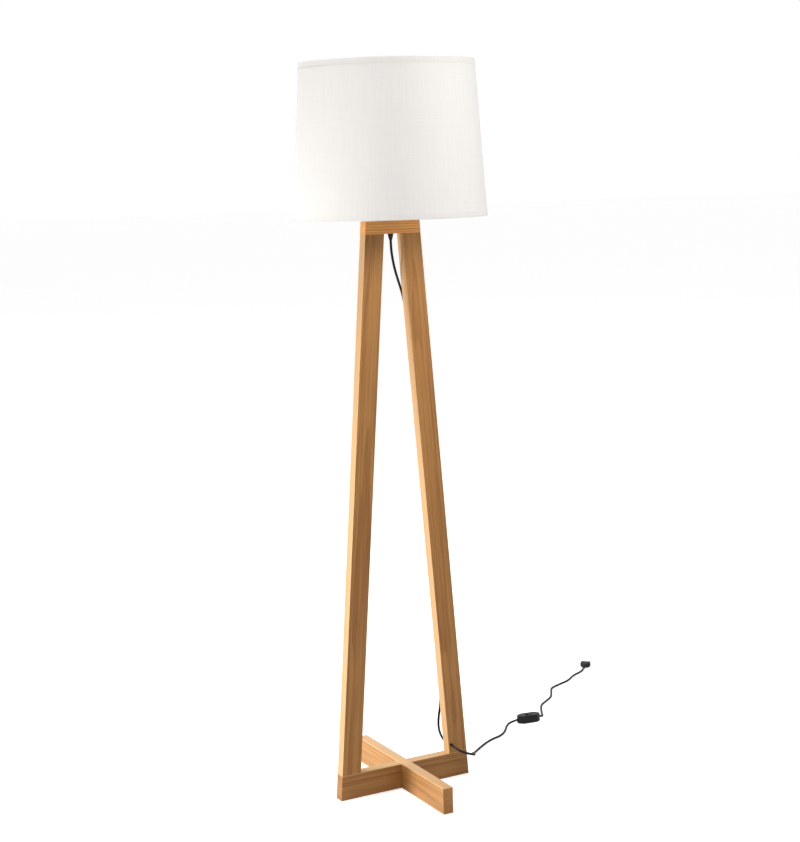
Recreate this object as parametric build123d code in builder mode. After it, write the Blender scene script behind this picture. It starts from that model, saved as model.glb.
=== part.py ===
from build123d import *
from math import atan, cos, radians, sin, tan
import os

# A-frame floor lamp: two slanted wooden legs under a cap block, on a crossed base of two rails,
# with a drum shade on a ring fitter, a screw-in bulb and a black mains lead with a switch on it.
# Millimetres. The origin is on the floor under the middle of the crossed base, +Z is up,
# +X runs along the frame rail in the plane of the legs, +Y along the cross rail to the rear.

os.makedirs("parts", exist_ok=True)

# ---------------------------------------------------------------- driving dimensions

# timber frame
board = 23.0                  # thickness of the legs, both rails and the block
frame_height = 1213.5         # floor to the top face of the block
frame_rail_length = 313.6     # at its underside; its ends follow the legs
frame_rail_height = 54.0
cross_rail_length = 380.0
cross_rail_height = 55.6      # stands a little proud of the frame rail
block_length = 125.4          # at its top face
block_height = 26.5
leg_width = 44.0              # square across the leg
eased_edge = 0.8              # radius along the timber's long edges
lap_clearance = 0.1           # each side of the half-lap joint

# joinery
dowel_radius = 4.0
dowel_length = 36.0
dowel_clearance = 0.05
dowel_gap = 0.5               # free depth beyond each end of a dowel
dowel_spread = 10.0           # each side of the leg's middle, in its top end
foot_dowel_offset = 9.0       # outboard of the leg's middle, in its foot
foot_screw_offset = 9.0       # inboard of the leg's middle
foot_screw_depth = 34.0       # how far the screw bites into the leg
screw_radius = 2.4
screw_head_radius = 4.6
screw_head_height = 3.4
screw_sink = 13.0             # depth of the counterbore under the head
screw_clearance = 0.05
screw_slot = 1.2              # width of the cross recess
lap_screw_depth = 16.0        # bite into the cross rail
lap_screw_sink = 6.0
pad_radius = 8.0
pad_thickness = 3.0
pad_proud = 0.8               # felt that stands below the rails
pad_inset = 10.5              # from a rail's end to the middle of its pad

# threaded tube and cord grip
nipple_radius = 4.95
nipple_bore = 3.8
nipple_grip = 6.0             # how far the tube enters the lampholder
nipple_clearance = 0.05
washer_radius = 11.0
washer_thickness = 1.5
nut_across_flats = 14.0
nut_thickness = 3.5
gland_top_radius = 5.8
gland_tip_radius = 3.7
gland_height = 13.0
gland_collar = 1.5            # straight part under the block
gland_spigot_length = 8.0
gland_spigot_radius = 3.7
core_radius = 1.1
core_spread = 1.25            # each side of the axis

# lampholder
holder_radius = 19.75
holder_wall = 1.9
holder_cap_height = 18.0
holder_hub_radius = 11.0
holder_hub_height = 6.0
holder_hub_flare = 1.0        # the hub widens this much before the cap's cone
holder_hub_straight = 2.5
holder_shoulder = 11.0        # cap's foot to the end of its cone
holder_body_height = 40.0
holder_lip = 2.4
holder_lip_height = 2.0
holder_chamfer = 1.0
seat_height = 8.0             # holder body's lower end to the top of its shade seat
seat_thickness = 2.0
seat_width = 3.75             # the seat stands out this far from the body
insulator_height = 7.5
insulator_clearance = 0.2
sleeve_radius = 14.4
sleeve_wall = 0.7
sleeve_height = 24.0
sleeve_hole = 8.0
contact_radius = 3.2
contact_height = 2.5
contact_stem_radius = 1.5
contact_stem_inset = 1.0      # the stem stops above the insulator's underside
contact_crown = 1.0           # the contact's rounded rim
terminal_radius = 1.5
terminal_head_radius = 2.6
terminal_head = 1.4
terminal_length = 6.0
terminal_slot = 0.8

# shade
shade_gap = 7.2               # block to the shade's lower edge
shade_height = 312.5
shade_bottom_radius = 200.0
shade_top_radius = 178.5
fabric_thickness = 0.5
liner_thickness = 1.0
hem_thickness = 0.5
hem_top_height = 12.0
hem_bottom_height = 10.0
hem_return = 7.0              # how far the hem is turned in behind the wire
wire_radius = 1.4
wire_clearance = 0.05
spoke_radius = 1.7
hem_notch = 0.4               # clearance where the hem is cut round a spoke
spoke_count = 3
first_spoke = 90.0            # degrees from +X
hub_width = 8.25              # lampholder's outside to the hub's rim
hub_thickness = 2.0
spoke_drop = 0.8              # spokes meet the hub this far below its middle
hub_clearance = 0.55
hub_relief = 1.0              # spokes are cut back this far round the ring and the seat
ring_width = 7.75             # lampholder's outside to the ring's rim
ring_height = 9.0
ring_clearance = 0.25
ring_flange = 2.0
ring_step = 2.5               # the flange stands out this far
ring_bevel = 1.0
running_gap = 0.3             # between pieces that turn on each other

# bulb
cap_radius = 13.1
cap_wall = 0.5
cap_start = 4.0               # above the contact's tip
cap_height = 20.0
globe_radius = 30.0
globe_centre = 78.0           # above the contact's tip
globe_blend = 40.0            # degrees below the equator where the neck meets the globe
glass_wall = 1.0
neck_inset = 0.1
neck_start = 18.0
neck_straight = 26.0
tip_radius = 2.5
tip_height = 1.2
tip_flare = 1.5
tip_rim = 2.0                 # dark base's cone stops this far inside the cap

# mains lead
cord_radius = 2.6
cord_inset = 7.0              # from the leg's inner edge to the cord's middle
cord_standoff = 0.1           # between the cord and the leg it is clipped to
cord_hole_radius = 3.5
cord_hole_height = 73.5
bore_clearance = 0.15         # between the cord and whatever grips it

# cord clips
clip_wall = 1.8
clip_length = 7.0
clip_lug = 8.0
clip_lug_height = 3.2
clip_root = 1.0               # overlap of the lug and the arch
clip_low = 225.0              # height of the lowest clip
clip_drop = 180.0             # from the block to the highest clip
clip_count = 3
nail_radius = 0.8
nail_bite = 12.0
nail_head_radius = 1.9
nail_head = 0.9

# in-line switch
switch_x, switch_y = 456.0, 207.0
switch_heading = -8.0         # degrees from +X
switch_length = 56.0
switch_flat = 36.0            # length of its parallel sides
switch_width = 24.0
switch_tip = 9.0              # width of its narrow ends
switch_height = 19.0
switch_wall = 1.8
switch_edge = 1.2
rocker_length = 14.4
rocker_width = 8.6
rocker_rise = 2.0
rocker_dip = 0.6
rocker_depth = 3.4
rocker_tilt = 8.0             # each way about level
rocker_gap = 0.8
rocker_side_gap = 0.4
pivot_drop = 1.6              # below the cover's top face
pivot_radius = 0.8
lug_thickness = 1.6
lug_radius = 2.2
switch_screw_offset = 20.5
switch_screw_radius = 1.2
switch_screw_head = 2.2
switch_post_radius = 2.6
terminal_block_length = 9.0
terminal_block_width = 4.0
terminal_block_height = 5.0
terminal_block_spread = 5.2
terminal_block_offset = 8.0   # each side of the switch's middle
switch_screw_recess = 0.3     # the heads sit this far above the underside
rocker_edge_depth = 1.0       # the rocker's ends reach this far below its pin
bore_grip = 0.1               # the switch's halves pinch the lead by this much

# plug
plug_x, plug_y = 804.0, 474.0  # where the lead enters it
plug_heading = 47.0
plug_relief = 12.0
plug_relief_radius = 3.8
plug_body = 24.0
plug_width = 26.0
plug_neck = 9.0
plug_shoulder = 7.0           # along the body, where its taper eases
plug_full = 12.0              # along the body, where it reaches full width
plug_ease = 3.0               # each side still to come at the shoulder
plug_relief_flare = 0.8
plug_height = 13.8
plug_edge = 3.0
pin_radius = 2.0
pin_length = 19.0
pin_root = 10.0               # moulded into the body
pin_tip = 1.0
pin_spread = 9.3

# ---------------------------------------------------------------- the mains lead's route

# From the grip under the block, along the rear of the right leg under its clips, out in a bow
# and forward through the leg, round in a loop to the floor and away to the switch.
lamp_route = [
    (0, 0, 1187),
    (0, 0, 1162),
    (4.5, 3, 1137),
    (12.5, 8.5, 1113),
    (23, 15, 1090),
    (33, 17, 1064),
    (39.6, 14.2, 1031),
    (103.7, 14.2, 206),
    (106.5, 18.5, 170),
    (109, 27, 146),
    (111.2, 36.3, 127),
    (112.2, 40.2, 111),
    (112.8, 40.5, 95),
    (113.6, 32.7, 81.7),
    (114, 19.3, 74),
    (114, -12, 73.2),
    (114.5, -28.5, 70.8),
    (119.5, -42, 67.3),
    (130, -49.5, 63),
    (142.5, -50, 58.5),
    (153.8, -42.5, 53),
    (164.5, -25, 46.5),
    (178, 1, 37.5),
    (193.5, 31, 26),
    (211, 60, 13),
    (235, 88.5, 3.2),
    (269, 116, 2.6),
    (308, 141, 2.6),
    (346, 153, 2.6),
    (371, 176, 2.6),
    (388, 199, 2.6),
    (407, 213, 6),
    (433.2, 210.2, 9.5),
]

# From the switch's far end to the plug, loose on the floor.
plug_route = [
    (478.8, 203.8, 9.5),
    (489.3, 202.4, 9.2),
    (496.2, 206.8, 7.4),
    (503.5, 218.5, 4.6),
    (515.5, 240, 2.6),
    (531, 266, 2.6),
    (548, 290, 2.6),
    (574, 307.5, 2.6),
    (602, 327, 2.6),
    (622.5, 357, 2.6),
    (641, 386, 2.6),
    (676, 401, 2.6),
    (713, 414, 2.6),
    (749, 444, 2.6),
    (776, 454.5, 3),
    (792.5, 461.7, 5),
    (804, 474, 6.9),
]

# ---------------------------------------------------------------- worked-out places

rail_half = frame_rail_length / 2
cross_half = cross_rail_length / 2
lean_run = (rail_half - block_length / 2) / (frame_height - pad_proud)
lean = atan(lean_run)
leg_run = leg_width / cos(lean)
leg_foot = pad_proud + frame_rail_height
block_foot = frame_height - block_height
lap_level = pad_proud + frame_rail_height / 2


def outer_x(z):
    """Outer edge of the A-frame at height z."""
    return rail_half - lean_run * (z - pad_proud)


def cord_x(z):
    """Middle of the clipped lead behind the right leg at height z."""
    return outer_x(z) - leg_run + cord_inset


foot_middle = outer_x(leg_foot) - leg_run / 2
head_middle = outer_x(block_foot) - leg_run / 2
foot_dowel_x = foot_middle + foot_dowel_offset
foot_screw_x = foot_middle - foot_screw_offset
head_dowels = [head_middle - dowel_spread, head_middle + dowel_spread]
dowel_hole_depth = dowel_length / 2 + dowel_gap

holder_foot = frame_height + washer_thickness + nut_thickness
body_foot = holder_foot + holder_cap_height
body_top = body_foot + holder_body_height
seat_radius = holder_radius + seat_width
seat_top = body_foot + seat_height
hub_radius = holder_radius + hub_width
ring_radius = holder_radius + ring_width
hub_foot = seat_top + running_gap
hub_top = hub_foot + hub_thickness
ring_foot = hub_top + running_gap
sleeve_foot = body_foot + insulator_height
contact_top = sleeve_foot + contact_height
terminal_level = body_foot + insulator_height / 2
bulb_tip = contact_top + running_gap

shade_foot = frame_height + shade_gap
shade_top = shade_foot + shade_height
shade_run = (shade_bottom_radius - shade_top_radius) / shade_height
bottom_wire_z = shade_foot + wire_radius
top_wire_z = shade_top - wire_radius

clip_high = block_foot - clip_drop
clip_heights = [clip_low + i * (clip_high - clip_low) / (clip_count - 1) for i in range(clip_count)]
nail_offset = cord_radius + clip_wall + clip_lug / 2


def nail_plane(z, lift):
    """Plane across a clip's nail, a given lift behind the leg's rear face."""
    spot = (cord_x(z) + nail_offset * cos(lean), board / 2 + lift, z + nail_offset * sin(lean))
    return Plane(origin=spot, z_dir=(0, 1, 0))


def shade_x(z, depth=0.0):
    """Radius of the shade at height z, a given depth inside its fabric's outer face."""
    return shade_bottom_radius - shade_run * (z - shade_foot) - depth


def upward(x, y, z):
    """Work plane at a point, facing up: a hole cut on it goes down."""
    return Plane(origin=(x, y, z), x_dir=(1, 0, 0), z_dir=(0, 0, 1))


def downward(x, y, z):
    """Work plane at a point, facing down: a hole cut on it goes up."""
    return Plane(origin=(x, y, z), x_dir=(1, 0, 0), z_dir=(0, 0, -1))


def keep(piece, name):
    """Label a finished piece and write it out."""
    piece.part.label = name
    export_step(piece.part, f"parts/{name}.step")


# ---------------------------------------------------------------- timber

def ease_long_edges(piece, length):
    """Round the edges that run most of the length of a timber."""
    fillet(piece.edges().filter_by(lambda edge: edge.length > 0.9 * length), eased_edge)


# Each leg is cut level at both ends, butted on the frame rail and under the block.
leg_length = (block_foot - leg_foot) / cos(lean)
for side, name in ((-1, "leg_left"), (1, "leg_right")):
    with BuildPart() as leg:
        with BuildSketch(Plane.XZ):
            with BuildLine():
                Polyline(
                    (side * outer_x(leg_foot), leg_foot),
                    (side * outer_x(block_foot), block_foot),
                    (side * (outer_x(block_foot) - leg_run), block_foot),
                    (side * (outer_x(leg_foot) - leg_run), leg_foot),
                    close=True,
                )
            make_face()
        extrude(amount=board / 2, both=True)
        ease_long_edges(leg, leg_length)
        with Locations(*[upward(side * x, 0, block_foot) for x in head_dowels]):
            Hole(dowel_radius + dowel_clearance, dowel_hole_depth)
        with Locations(downward(side * foot_dowel_x, 0, leg_foot)):
            Hole(dowel_radius + dowel_clearance, dowel_hole_depth)
        with Locations(downward(side * foot_screw_x, 0, leg_foot)):
            Hole(screw_radius + screw_clearance, foot_screw_depth + dowel_gap)
        if side > 0:
            with BuildSketch(Plane.XZ):
                with Locations((cord_x(cord_hole_height), cord_hole_height)):
                    Circle(cord_hole_radius)
            extrude(amount=board, both=True, mode=Mode.SUBTRACT)
            for z in clip_heights:
                with Locations(nail_plane(z, 0)):
                    Hole(nail_radius + screw_clearance, nail_bite + dowel_gap)
    keep(leg, name)

# The cap block ties the legs' heads together and carries the lampholder's tube.
with BuildPart() as block:
    with BuildSketch(Plane.XZ):
        with BuildLine():
            Polyline(
                (-outer_x(block_foot), block_foot),
                (outer_x(block_foot), block_foot),
                (outer_x(frame_height), frame_height),
                (-outer_x(frame_height), frame_height),
                close=True,
            )
        make_face()
    extrude(amount=board / 2, both=True)
    fillet(block.faces().sort_by(Axis.Z)[-1].edges(), eased_edge)
    with Locations(*[downward(side * x, 0, block_foot) for x in head_dowels for side in (-1, 1)]):
        Hole(dowel_radius + dowel_clearance, dowel_hole_depth)
    with Locations(upward(0, 0, frame_height)):
        Hole(nipple_radius + nipple_clearance)
keep(block, "top_block")

# The frame rail lies under the legs and is notched from above at its middle.
with BuildPart() as frame_rail:
    with BuildSketch(Plane.XZ):
        with BuildLine():
            Polyline(
                (-outer_x(pad_proud), pad_proud),
                (outer_x(pad_proud), pad_proud),
                (outer_x(leg_foot), leg_foot),
                (-outer_x(leg_foot), leg_foot),
                close=True,
            )
        make_face()
    extrude(amount=board / 2, both=True)
    ease_long_edges(frame_rail, 2 * outer_x(leg_foot))
    with BuildSketch(Plane.XY.offset(lap_level)):
        Rectangle(board + 2 * lap_clearance, 2 * board)
    extrude(amount=frame_rail_height, mode=Mode.SUBTRACT)
    with Locations(*[upward(side * foot_dowel_x, 0, leg_foot) for side in (-1, 1)]):
        Hole(dowel_radius + dowel_clearance, dowel_hole_depth)
    with Locations(*[downward(side * foot_screw_x, 0, pad_proud) for side in (-1, 1)]):
        CounterBoreHole(screw_radius + screw_clearance, screw_head_radius + screw_clearance, screw_sink)
    with Locations(downward(0, 0, pad_proud)):
        CounterBoreHole(
            screw_radius + screw_clearance, screw_head_radius + screw_clearance, lap_screw_sink
        )
    pad_x = outer_x(pad_proud) - pad_inset
    with Locations(*[downward(side * pad_x, 0, pad_proud) for side in (-1, 1)]):
        Hole(pad_radius, pad_thickness - pad_proud)
keep(frame_rail, "frame_rail")

# The cross rail runs over the frame rail, notched from below.
with BuildPart() as cross_rail:
    with BuildSketch(Plane.YZ):
        with Locations((0, pad_proud + cross_rail_height / 2)):
            Rectangle(cross_rail_length, cross_rail_height)
    extrude(amount=board / 2, both=True)
    ease_long_edges(cross_rail, cross_rail_length)
    with BuildSketch(Plane.XY.offset(lap_level)):
        Rectangle(2 * board, board + 2 * lap_clearance)
    extrude(amount=-frame_rail_height, mode=Mode.SUBTRACT)
    with Locations(downward(0, 0, lap_level)):
        Hole(screw_radius + screw_clearance, lap_screw_depth + dowel_gap)
    pad_y = cross_half - pad_inset
    with Locations(*[downward(0, side * pad_y, pad_proud) for side in (-1, 1)]):
        Hole(pad_radius, pad_thickness - pad_proud)
keep(cross_rail, "cross_rail")

# Beech dowels: two in each leg's head, one in each foot.
with BuildPart() as dowels:
    for side in (-1, 1):
        spots = [(side * x, block_foot) for x in head_dowels] + [(side * foot_dowel_x, leg_foot)]
        for x, joint in spots:
            with BuildSketch(Plane.XY.offset(joint - dowel_length / 2)):
                with Locations((x, 0)):
                    Circle(dowel_radius)
            extrude(amount=dowel_length)
keep(dowels, "joint_dowels")


def wood_screws(places, head_seat, tip):
    """Countersunk screws driven upward, their heads against head_seat."""
    with BuildPart() as screws:
        for x in places:
            with BuildSketch(Plane.XY.offset(head_seat - screw_head_height)):
                with Locations((x, 0)):
                    Circle(screw_head_radius)
            extrude(amount=screw_head_height)
            with BuildSketch(Plane.XY.offset(head_seat)):
                with Locations((x, 0)):
                    Circle(screw_radius)
            extrude(amount=tip - head_seat)
            with BuildSketch(Plane.XY.offset(head_seat - screw_head_height)):
                with Locations((x, 0)):
                    Rectangle(screw_slot, screw_head_radius)
                    Rectangle(screw_head_radius, screw_slot)
            extrude(amount=screw_head_height / 2, mode=Mode.SUBTRACT)
    return screws


foot_seat = pad_proud + screw_sink
keep(wood_screws((-foot_screw_x, foot_screw_x), foot_seat, leg_foot + foot_screw_depth), "foot_screws")
keep(wood_screws((0,), pad_proud + lap_screw_sink, lap_level + lap_screw_depth), "lap_screw")

# Felt pads let into the rails' undersides.
with BuildPart() as pads:
    with BuildSketch(Plane.XY):
        with Locations((-pad_x, 0), (pad_x, 0), (0, -pad_y), (0, pad_y)):
            Circle(pad_radius)
    extrude(amount=pad_thickness)
keep(pads, "felt_pads")

# ---------------------------------------------------------------- tube, washer, nut, grip

with BuildPart() as nipple:
    with BuildSketch(Plane.XY.offset(block_foot)):
        Circle(nipple_radius)
        Circle(nipple_bore, mode=Mode.SUBTRACT)
    extrude(amount=holder_foot + nipple_grip - block_foot)
keep(nipple, "threaded_tube")

with BuildPart() as washer:
    with BuildSketch(Plane.XY.offset(frame_height)):
        Circle(washer_radius)
        Circle(nipple_radius + nipple_clearance, mode=Mode.SUBTRACT)
    extrude(amount=washer_thickness)
keep(washer, "tube_washer")

with BuildPart() as nut:
    with BuildSketch(Plane.XY.offset(frame_height + washer_thickness)):
        RegularPolygon(nut_across_flats / 2, 6, major_radius=False)
        Circle(nipple_radius + nipple_clearance, mode=Mode.SUBTRACT)
    extrude(amount=nut_thickness)
keep(nut, "tube_nut")

# The tapered grip plugs into the tube from below and holds the lead's sheath.
with BuildPart() as gland:
    with BuildSketch(Plane.XZ):
        with BuildLine():
            Polyline(
                (cord_radius + bore_clearance, block_foot - gland_height),
                (gland_tip_radius, block_foot - gland_height),
                (gland_top_radius, block_foot - gland_collar),
                (gland_top_radius, block_foot),
                (gland_spigot_radius, block_foot),
                (gland_spigot_radius, block_foot + gland_spigot_length),
                (cord_radius + bore_clearance, block_foot + gland_spigot_length),
                close=True,
            )
        make_face()
    revolve(axis=Axis.Z)
keep(gland, "cord_grip")

with BuildPart() as cores:
    with BuildSketch(Plane.XY.offset(block_foot)):
        with Locations((-core_spread, 0), (core_spread, 0)):
            Circle(core_radius)
    extrude(amount=body_foot - block_foot)
keep(cores, "core_wires")

# ---------------------------------------------------------------- lampholder


def turned(points):
    """Revolve a closed profile of (radius, height) points about the lamp's axis."""
    with BuildPart() as piece:
        with BuildSketch(Plane.XZ):
            with BuildLine():
                Polyline(*points, close=True)
            make_face()
        revolve(axis=Axis.Z)
    return piece


inner = holder_radius - holder_wall
holder_cap = turned([
    (nipple_radius + nipple_clearance, holder_foot),
    (holder_hub_radius, holder_foot),
    (holder_hub_radius + holder_hub_flare, holder_foot + holder_hub_straight),
    (holder_radius, holder_foot + holder_shoulder),
    (holder_radius, body_foot),
    (inner, body_foot),
    (inner, holder_foot + holder_shoulder + holder_hub_flare),
    (holder_hub_radius, holder_foot + holder_hub_height),
    (nipple_radius + nipple_clearance, holder_foot + holder_hub_height),
])
keep(holder_cap, "holder_cap")

holder_body = turned([
    (inner, body_foot),
    (holder_radius, body_foot),
    (holder_radius, seat_top - seat_thickness),
    (seat_radius, seat_top - seat_thickness),
    (seat_radius, seat_top),
    (holder_radius, seat_top),
    (holder_radius, body_top - holder_chamfer),
    (holder_radius - holder_chamfer, body_top),
    (inner - holder_lip, body_top),
    (inner - holder_lip, body_top - holder_lip_height),
    (inner, body_top - 2 * holder_lip_height),
])
keep(holder_body, "holder_body")

with BuildPart() as insulator:
    add(turned([
        (contact_stem_radius, body_foot),
        (inner - insulator_clearance, body_foot),
        (inner - insulator_clearance, sleeve_foot),
        (contact_stem_radius, sleeve_foot),
    ]).part)
    for side in (-1, 1):
        rim = Plane(origin=(side * (inner - insulator_clearance), 0, terminal_level), z_dir=(side, 0, 0))
        with Locations(rim):
            CounterBoreHole(terminal_radius, terminal_head_radius, terminal_head, terminal_length)
keep(insulator, "holder_insulator")

sleeve = turned([
    (sleeve_hole, sleeve_foot),
    (sleeve_radius, sleeve_foot),
    (sleeve_radius, sleeve_foot + sleeve_height),
    (sleeve_radius - sleeve_wall, sleeve_foot + sleeve_height),
    (sleeve_radius - sleeve_wall, sleeve_foot + sleeve_wall),
    (sleeve_hole, sleeve_foot + sleeve_wall),
])
keep(sleeve, "holder_sleeve")

contact = turned([
    (0, body_foot + contact_stem_inset),
    (contact_stem_radius, body_foot + contact_stem_inset),
    (contact_stem_radius, sleeve_foot),
    (contact_radius, sleeve_foot),
    (contact_radius, contact_top - contact_crown / 2),
    (contact_radius - contact_crown, contact_top),
    (0, contact_top),
])
keep(contact, "centre_contact")

with BuildPart() as terminals:
    for side in (-1, 1):
        outward = Plane(origin=(side * (inner - insulator_clearance), 0, terminal_level), z_dir=(side, 0, 0))
        with BuildSketch(outward):
            Circle(terminal_head_radius)
        extrude(amount=-terminal_head)
        with BuildSketch(outward.offset(-terminal_head)):
            Circle(terminal_radius)
        extrude(amount=-(terminal_length - terminal_head))
        with BuildSketch(outward):
            Rectangle(terminal_slot, 2 * terminal_head_radius)
        extrude(amount=-terminal_head / 2, mode=Mode.SUBTRACT)
keep(terminals, "terminal_screws")

# ---------------------------------------------------------------- bulb

with BuildPart() as glass:
    blend_x = cos(radians(globe_blend))
    blend_z = sin(radians(globe_blend))
    for wall, mode in ((0.0, Mode.ADD), (glass_wall, Mode.SUBTRACT)):
        neck = cap_radius - cap_wall - neck_inset - wall
        radius = globe_radius - wall
        floor = bulb_tip + neck_start + wall
        middle = bulb_tip + globe_centre
        with BuildSketch(Plane.XZ):
            with BuildLine():
                Line((0, floor), (neck, floor))
                Line((neck, floor), (neck, bulb_tip + neck_straight))
                Spline(
                    (neck, bulb_tip + neck_straight),
                    (radius * blend_x, middle - radius * blend_z),
                    tangents=((0, 1), (blend_z, blend_x)),
                )
                CenterArc((0, middle), radius, -globe_blend, 90 + globe_blend)
                Line((0, middle + radius), (0, floor))
            make_face()
        revolve(axis=Axis.Z, mode=mode)
keep(glass, "bulb_glass")

cap_inner = cap_radius - cap_wall
keep(turned([
    (cap_inner, bulb_tip + cap_start),
    (cap_radius, bulb_tip + cap_start),
    (cap_radius, bulb_tip + cap_start + cap_height),
    (cap_inner, bulb_tip + cap_start + cap_height),
]), "bulb_cap")

keep(turned([
    (0, bulb_tip),
    (tip_radius, bulb_tip),
    (tip_radius + tip_flare, bulb_tip + tip_height),
    (cap_inner - tip_rim, bulb_tip + cap_start - cap_wall),
    (cap_inner, bulb_tip + cap_start),
    (cap_inner, bulb_tip + cap_start + tip_rim),
    (0, bulb_tip + cap_start + tip_rim),
]), "bulb_contact")

# ---------------------------------------------------------------- shade


def shade_skin(outer_depth, thickness):
    """Conical sheet of the full shade height."""
    return turned([
        (shade_x(shade_foot, outer_depth), shade_foot),
        (shade_x(shade_top, outer_depth), shade_top),
        (shade_x(shade_top, outer_depth + thickness), shade_top),
        (shade_x(shade_foot, outer_depth + thickness), shade_foot),
    ])


keep(shade_skin(0, fabric_thickness), "shade_fabric")
keep(shade_skin(fabric_thickness, liner_thickness), "shade_liner")

skins = fabric_thickness + liner_thickness
wire_depth = skins + wire_clearance + wire_radius
hem_depth = skins + 2 * wire_radius + 2 * wire_clearance

# Three spokes run from the hub ring down to the bottom wire.
spoke_start = Vector(hub_radius - spoke_radius, 0, hub_foot + hub_thickness / 2 - spoke_drop)
spoke_end = Vector(shade_x(bottom_wire_z, wire_depth) - wire_radius / 2, 0, bottom_wire_z)
spoke_way = spoke_end - spoke_start
spoke_planes = []
for i in range(spoke_count):
    turn = first_spoke + i * 360 / spoke_count
    spoke_planes.append(Plane(origin=spoke_start.rotate(Axis.Z, turn), z_dir=spoke_way.rotate(Axis.Z, turn)))

# Each hem is a band of the shade's cloth folded over the edge and in behind its wire.
for edge, inward, band, name in (
    (shade_top, -1, hem_top_height, "shade_hem_top"),
    (shade_foot, 1, hem_bottom_height, "shade_hem_bottom"),
):
    low = edge + inward * band
    tuck = edge + inward * hem_return
    crest = edge - inward * hem_thickness
    with BuildPart() as hem:
        add(turned([
            (shade_x(low), low),
            (shade_x(low, -hem_thickness), low),
            (shade_x(edge, -hem_thickness), edge),
            (shade_x(edge, 0), crest),
            (shade_x(edge, hem_depth), crest),
            (shade_x(edge, hem_depth + hem_thickness), edge),
            (shade_x(tuck, hem_depth + hem_thickness), tuck),
            (shade_x(tuck, hem_depth), tuck),
            (shade_x(edge, hem_depth), edge),
            (shade_x(edge), edge),
        ]).part)
        if inward > 0:
            for plane in spoke_planes:
                with BuildSketch(plane):
                    Circle(spoke_radius + hem_notch)
                extrude(amount=spoke_way.length, mode=Mode.SUBTRACT)
    keep(hem, name)

for z, name in ((top_wire_z, "shade_top_wire"), (bottom_wire_z, "shade_bottom_wire")):
    with BuildPart() as wire:
        with BuildSketch(Plane.XZ):
            with Locations((shade_x(z, wire_depth), z)):
                Circle(wire_radius)
        revolve(axis=Axis.Z)
    keep(wire, name)

# The fitter: the hub ring that sits on the lampholder, with its spokes.
with BuildPart() as spider:
    for plane in spoke_planes:
        with BuildSketch(plane):
            Circle(spoke_radius)
        extrude(amount=spoke_way.length)
    with BuildSketch(Plane.XY.offset(hub_foot)):
        Circle(hub_radius)
    extrude(amount=hub_thickness)
    with BuildSketch(Plane.XY.offset(hub_foot - spoke_radius)):
        Circle(holder_radius + hub_clearance)
    extrude(amount=hub_thickness + 2 * spoke_radius, mode=Mode.SUBTRACT)
    with BuildSketch(Plane.XY.offset(hub_top)):
        Circle(ring_radius + hub_relief)
    extrude(amount=2 * spoke_radius, mode=Mode.SUBTRACT)
    with BuildSketch(Plane.XY.offset(hub_foot)):
        Circle(seat_radius + hub_relief)
    extrude(amount=-2 * spoke_radius, mode=Mode.SUBTRACT)
keep(spider, "shade_spider")

# The ring screwed down on the hub.
keep(turned([
    (holder_radius + ring_clearance, ring_foot),
    (ring_radius, ring_foot),
    (ring_radius, ring_foot + ring_flange),
    (ring_radius - ring_step, ring_foot + ring_flange + ring_bevel),
    (ring_radius - ring_step, ring_foot + ring_height),
    (holder_radius + ring_clearance, ring_foot + ring_height),
]), "shade_ring")

# ---------------------------------------------------------------- cord clips

channel = cord_radius + bore_clearance
cord_level = cord_radius + cord_standoff

with BuildPart() as clips:
    for z in clip_heights:
        across = Plane(
            origin=(cord_x(z), board / 2, z),
            x_dir=(cos(lean), 0, sin(lean)),
            z_dir=(-sin(lean), 0, cos(lean)),
        )
        arch = channel + clip_wall
        with BuildSketch(across):
            with Locations((0, cord_level)):
                Circle(arch)
            with Locations((0, cord_level / 2)):
                Rectangle(2 * arch, cord_level)
            with Locations((arch + clip_lug / 2 - clip_root, clip_lug_height / 2)):
                Rectangle(clip_lug + 2 * clip_root, clip_lug_height)
            with Locations((0, cord_level)):
                Circle(channel, mode=Mode.SUBTRACT)
            with Locations((0, cord_level / 2)):
                Rectangle(2 * channel, cord_level, mode=Mode.SUBTRACT)
            with Locations((0, -arch)):
                Rectangle(4 * arch, 2 * arch, mode=Mode.SUBTRACT)
        extrude(amount=clip_length / 2, both=True)
        with Locations(nail_plane(z, clip_lug_height)):
            Hole(nail_radius + screw_clearance, clip_lug_height)
keep(clips, "cord_clips")

with BuildPart() as nails:
    for z in clip_heights:
        top = nail_plane(z, clip_lug_height)
        with BuildSketch(top):
            Circle(nail_head_radius)
        extrude(amount=nail_head)
        with BuildSketch(top):
            Circle(nail_radius)
        extrude(amount=-(clip_lug_height + nail_bite))
keep(nails, "clip_nails")

# ---------------------------------------------------------------- lead


def corner_radii(points):
    """Largest arc each corner's two runs leave room for."""
    radii = []
    for before, here, after in zip(points, points[1:], points[2:]):
        run_in = Vector(here) - Vector(before)
        run_out = Vector(after) - Vector(here)
        bend = radians(run_in.get_angle(run_out))
        radii.append(0.45 * min(run_in.length, run_out.length) / tan(bend / 2))
    return radii


def cord_tube(points, name):
    """Round tube along straight runs joined by tangent arcs."""
    radii = corner_radii(points)
    with BuildPart() as tube:
        with BuildLine() as route:
            FilletPolyline(*points, radius=radii)
        with BuildSketch(Plane(origin=points[0], z_dir=Vector(points[1]) - Vector(points[0]))):
            Circle(cord_radius)
        sweep(path=route.wires()[0])
    print(name, "radii", [round(r, 1) for r in radii])
    print(name, "length", round(route.wires()[0].length, 1), "volume", round(tube.part.volume, 1))
    return tube


keep(cord_tube(lamp_route, "lamp_lead"), "lamp_lead")
keep(cord_tube(plug_route, "plug_lead"), "plug_lead")

# ---------------------------------------------------------------- in-line switch

switch_way = Vector(cos(radians(switch_heading)), sin(radians(switch_heading)), 0)
half_level = switch_height / 2


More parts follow.
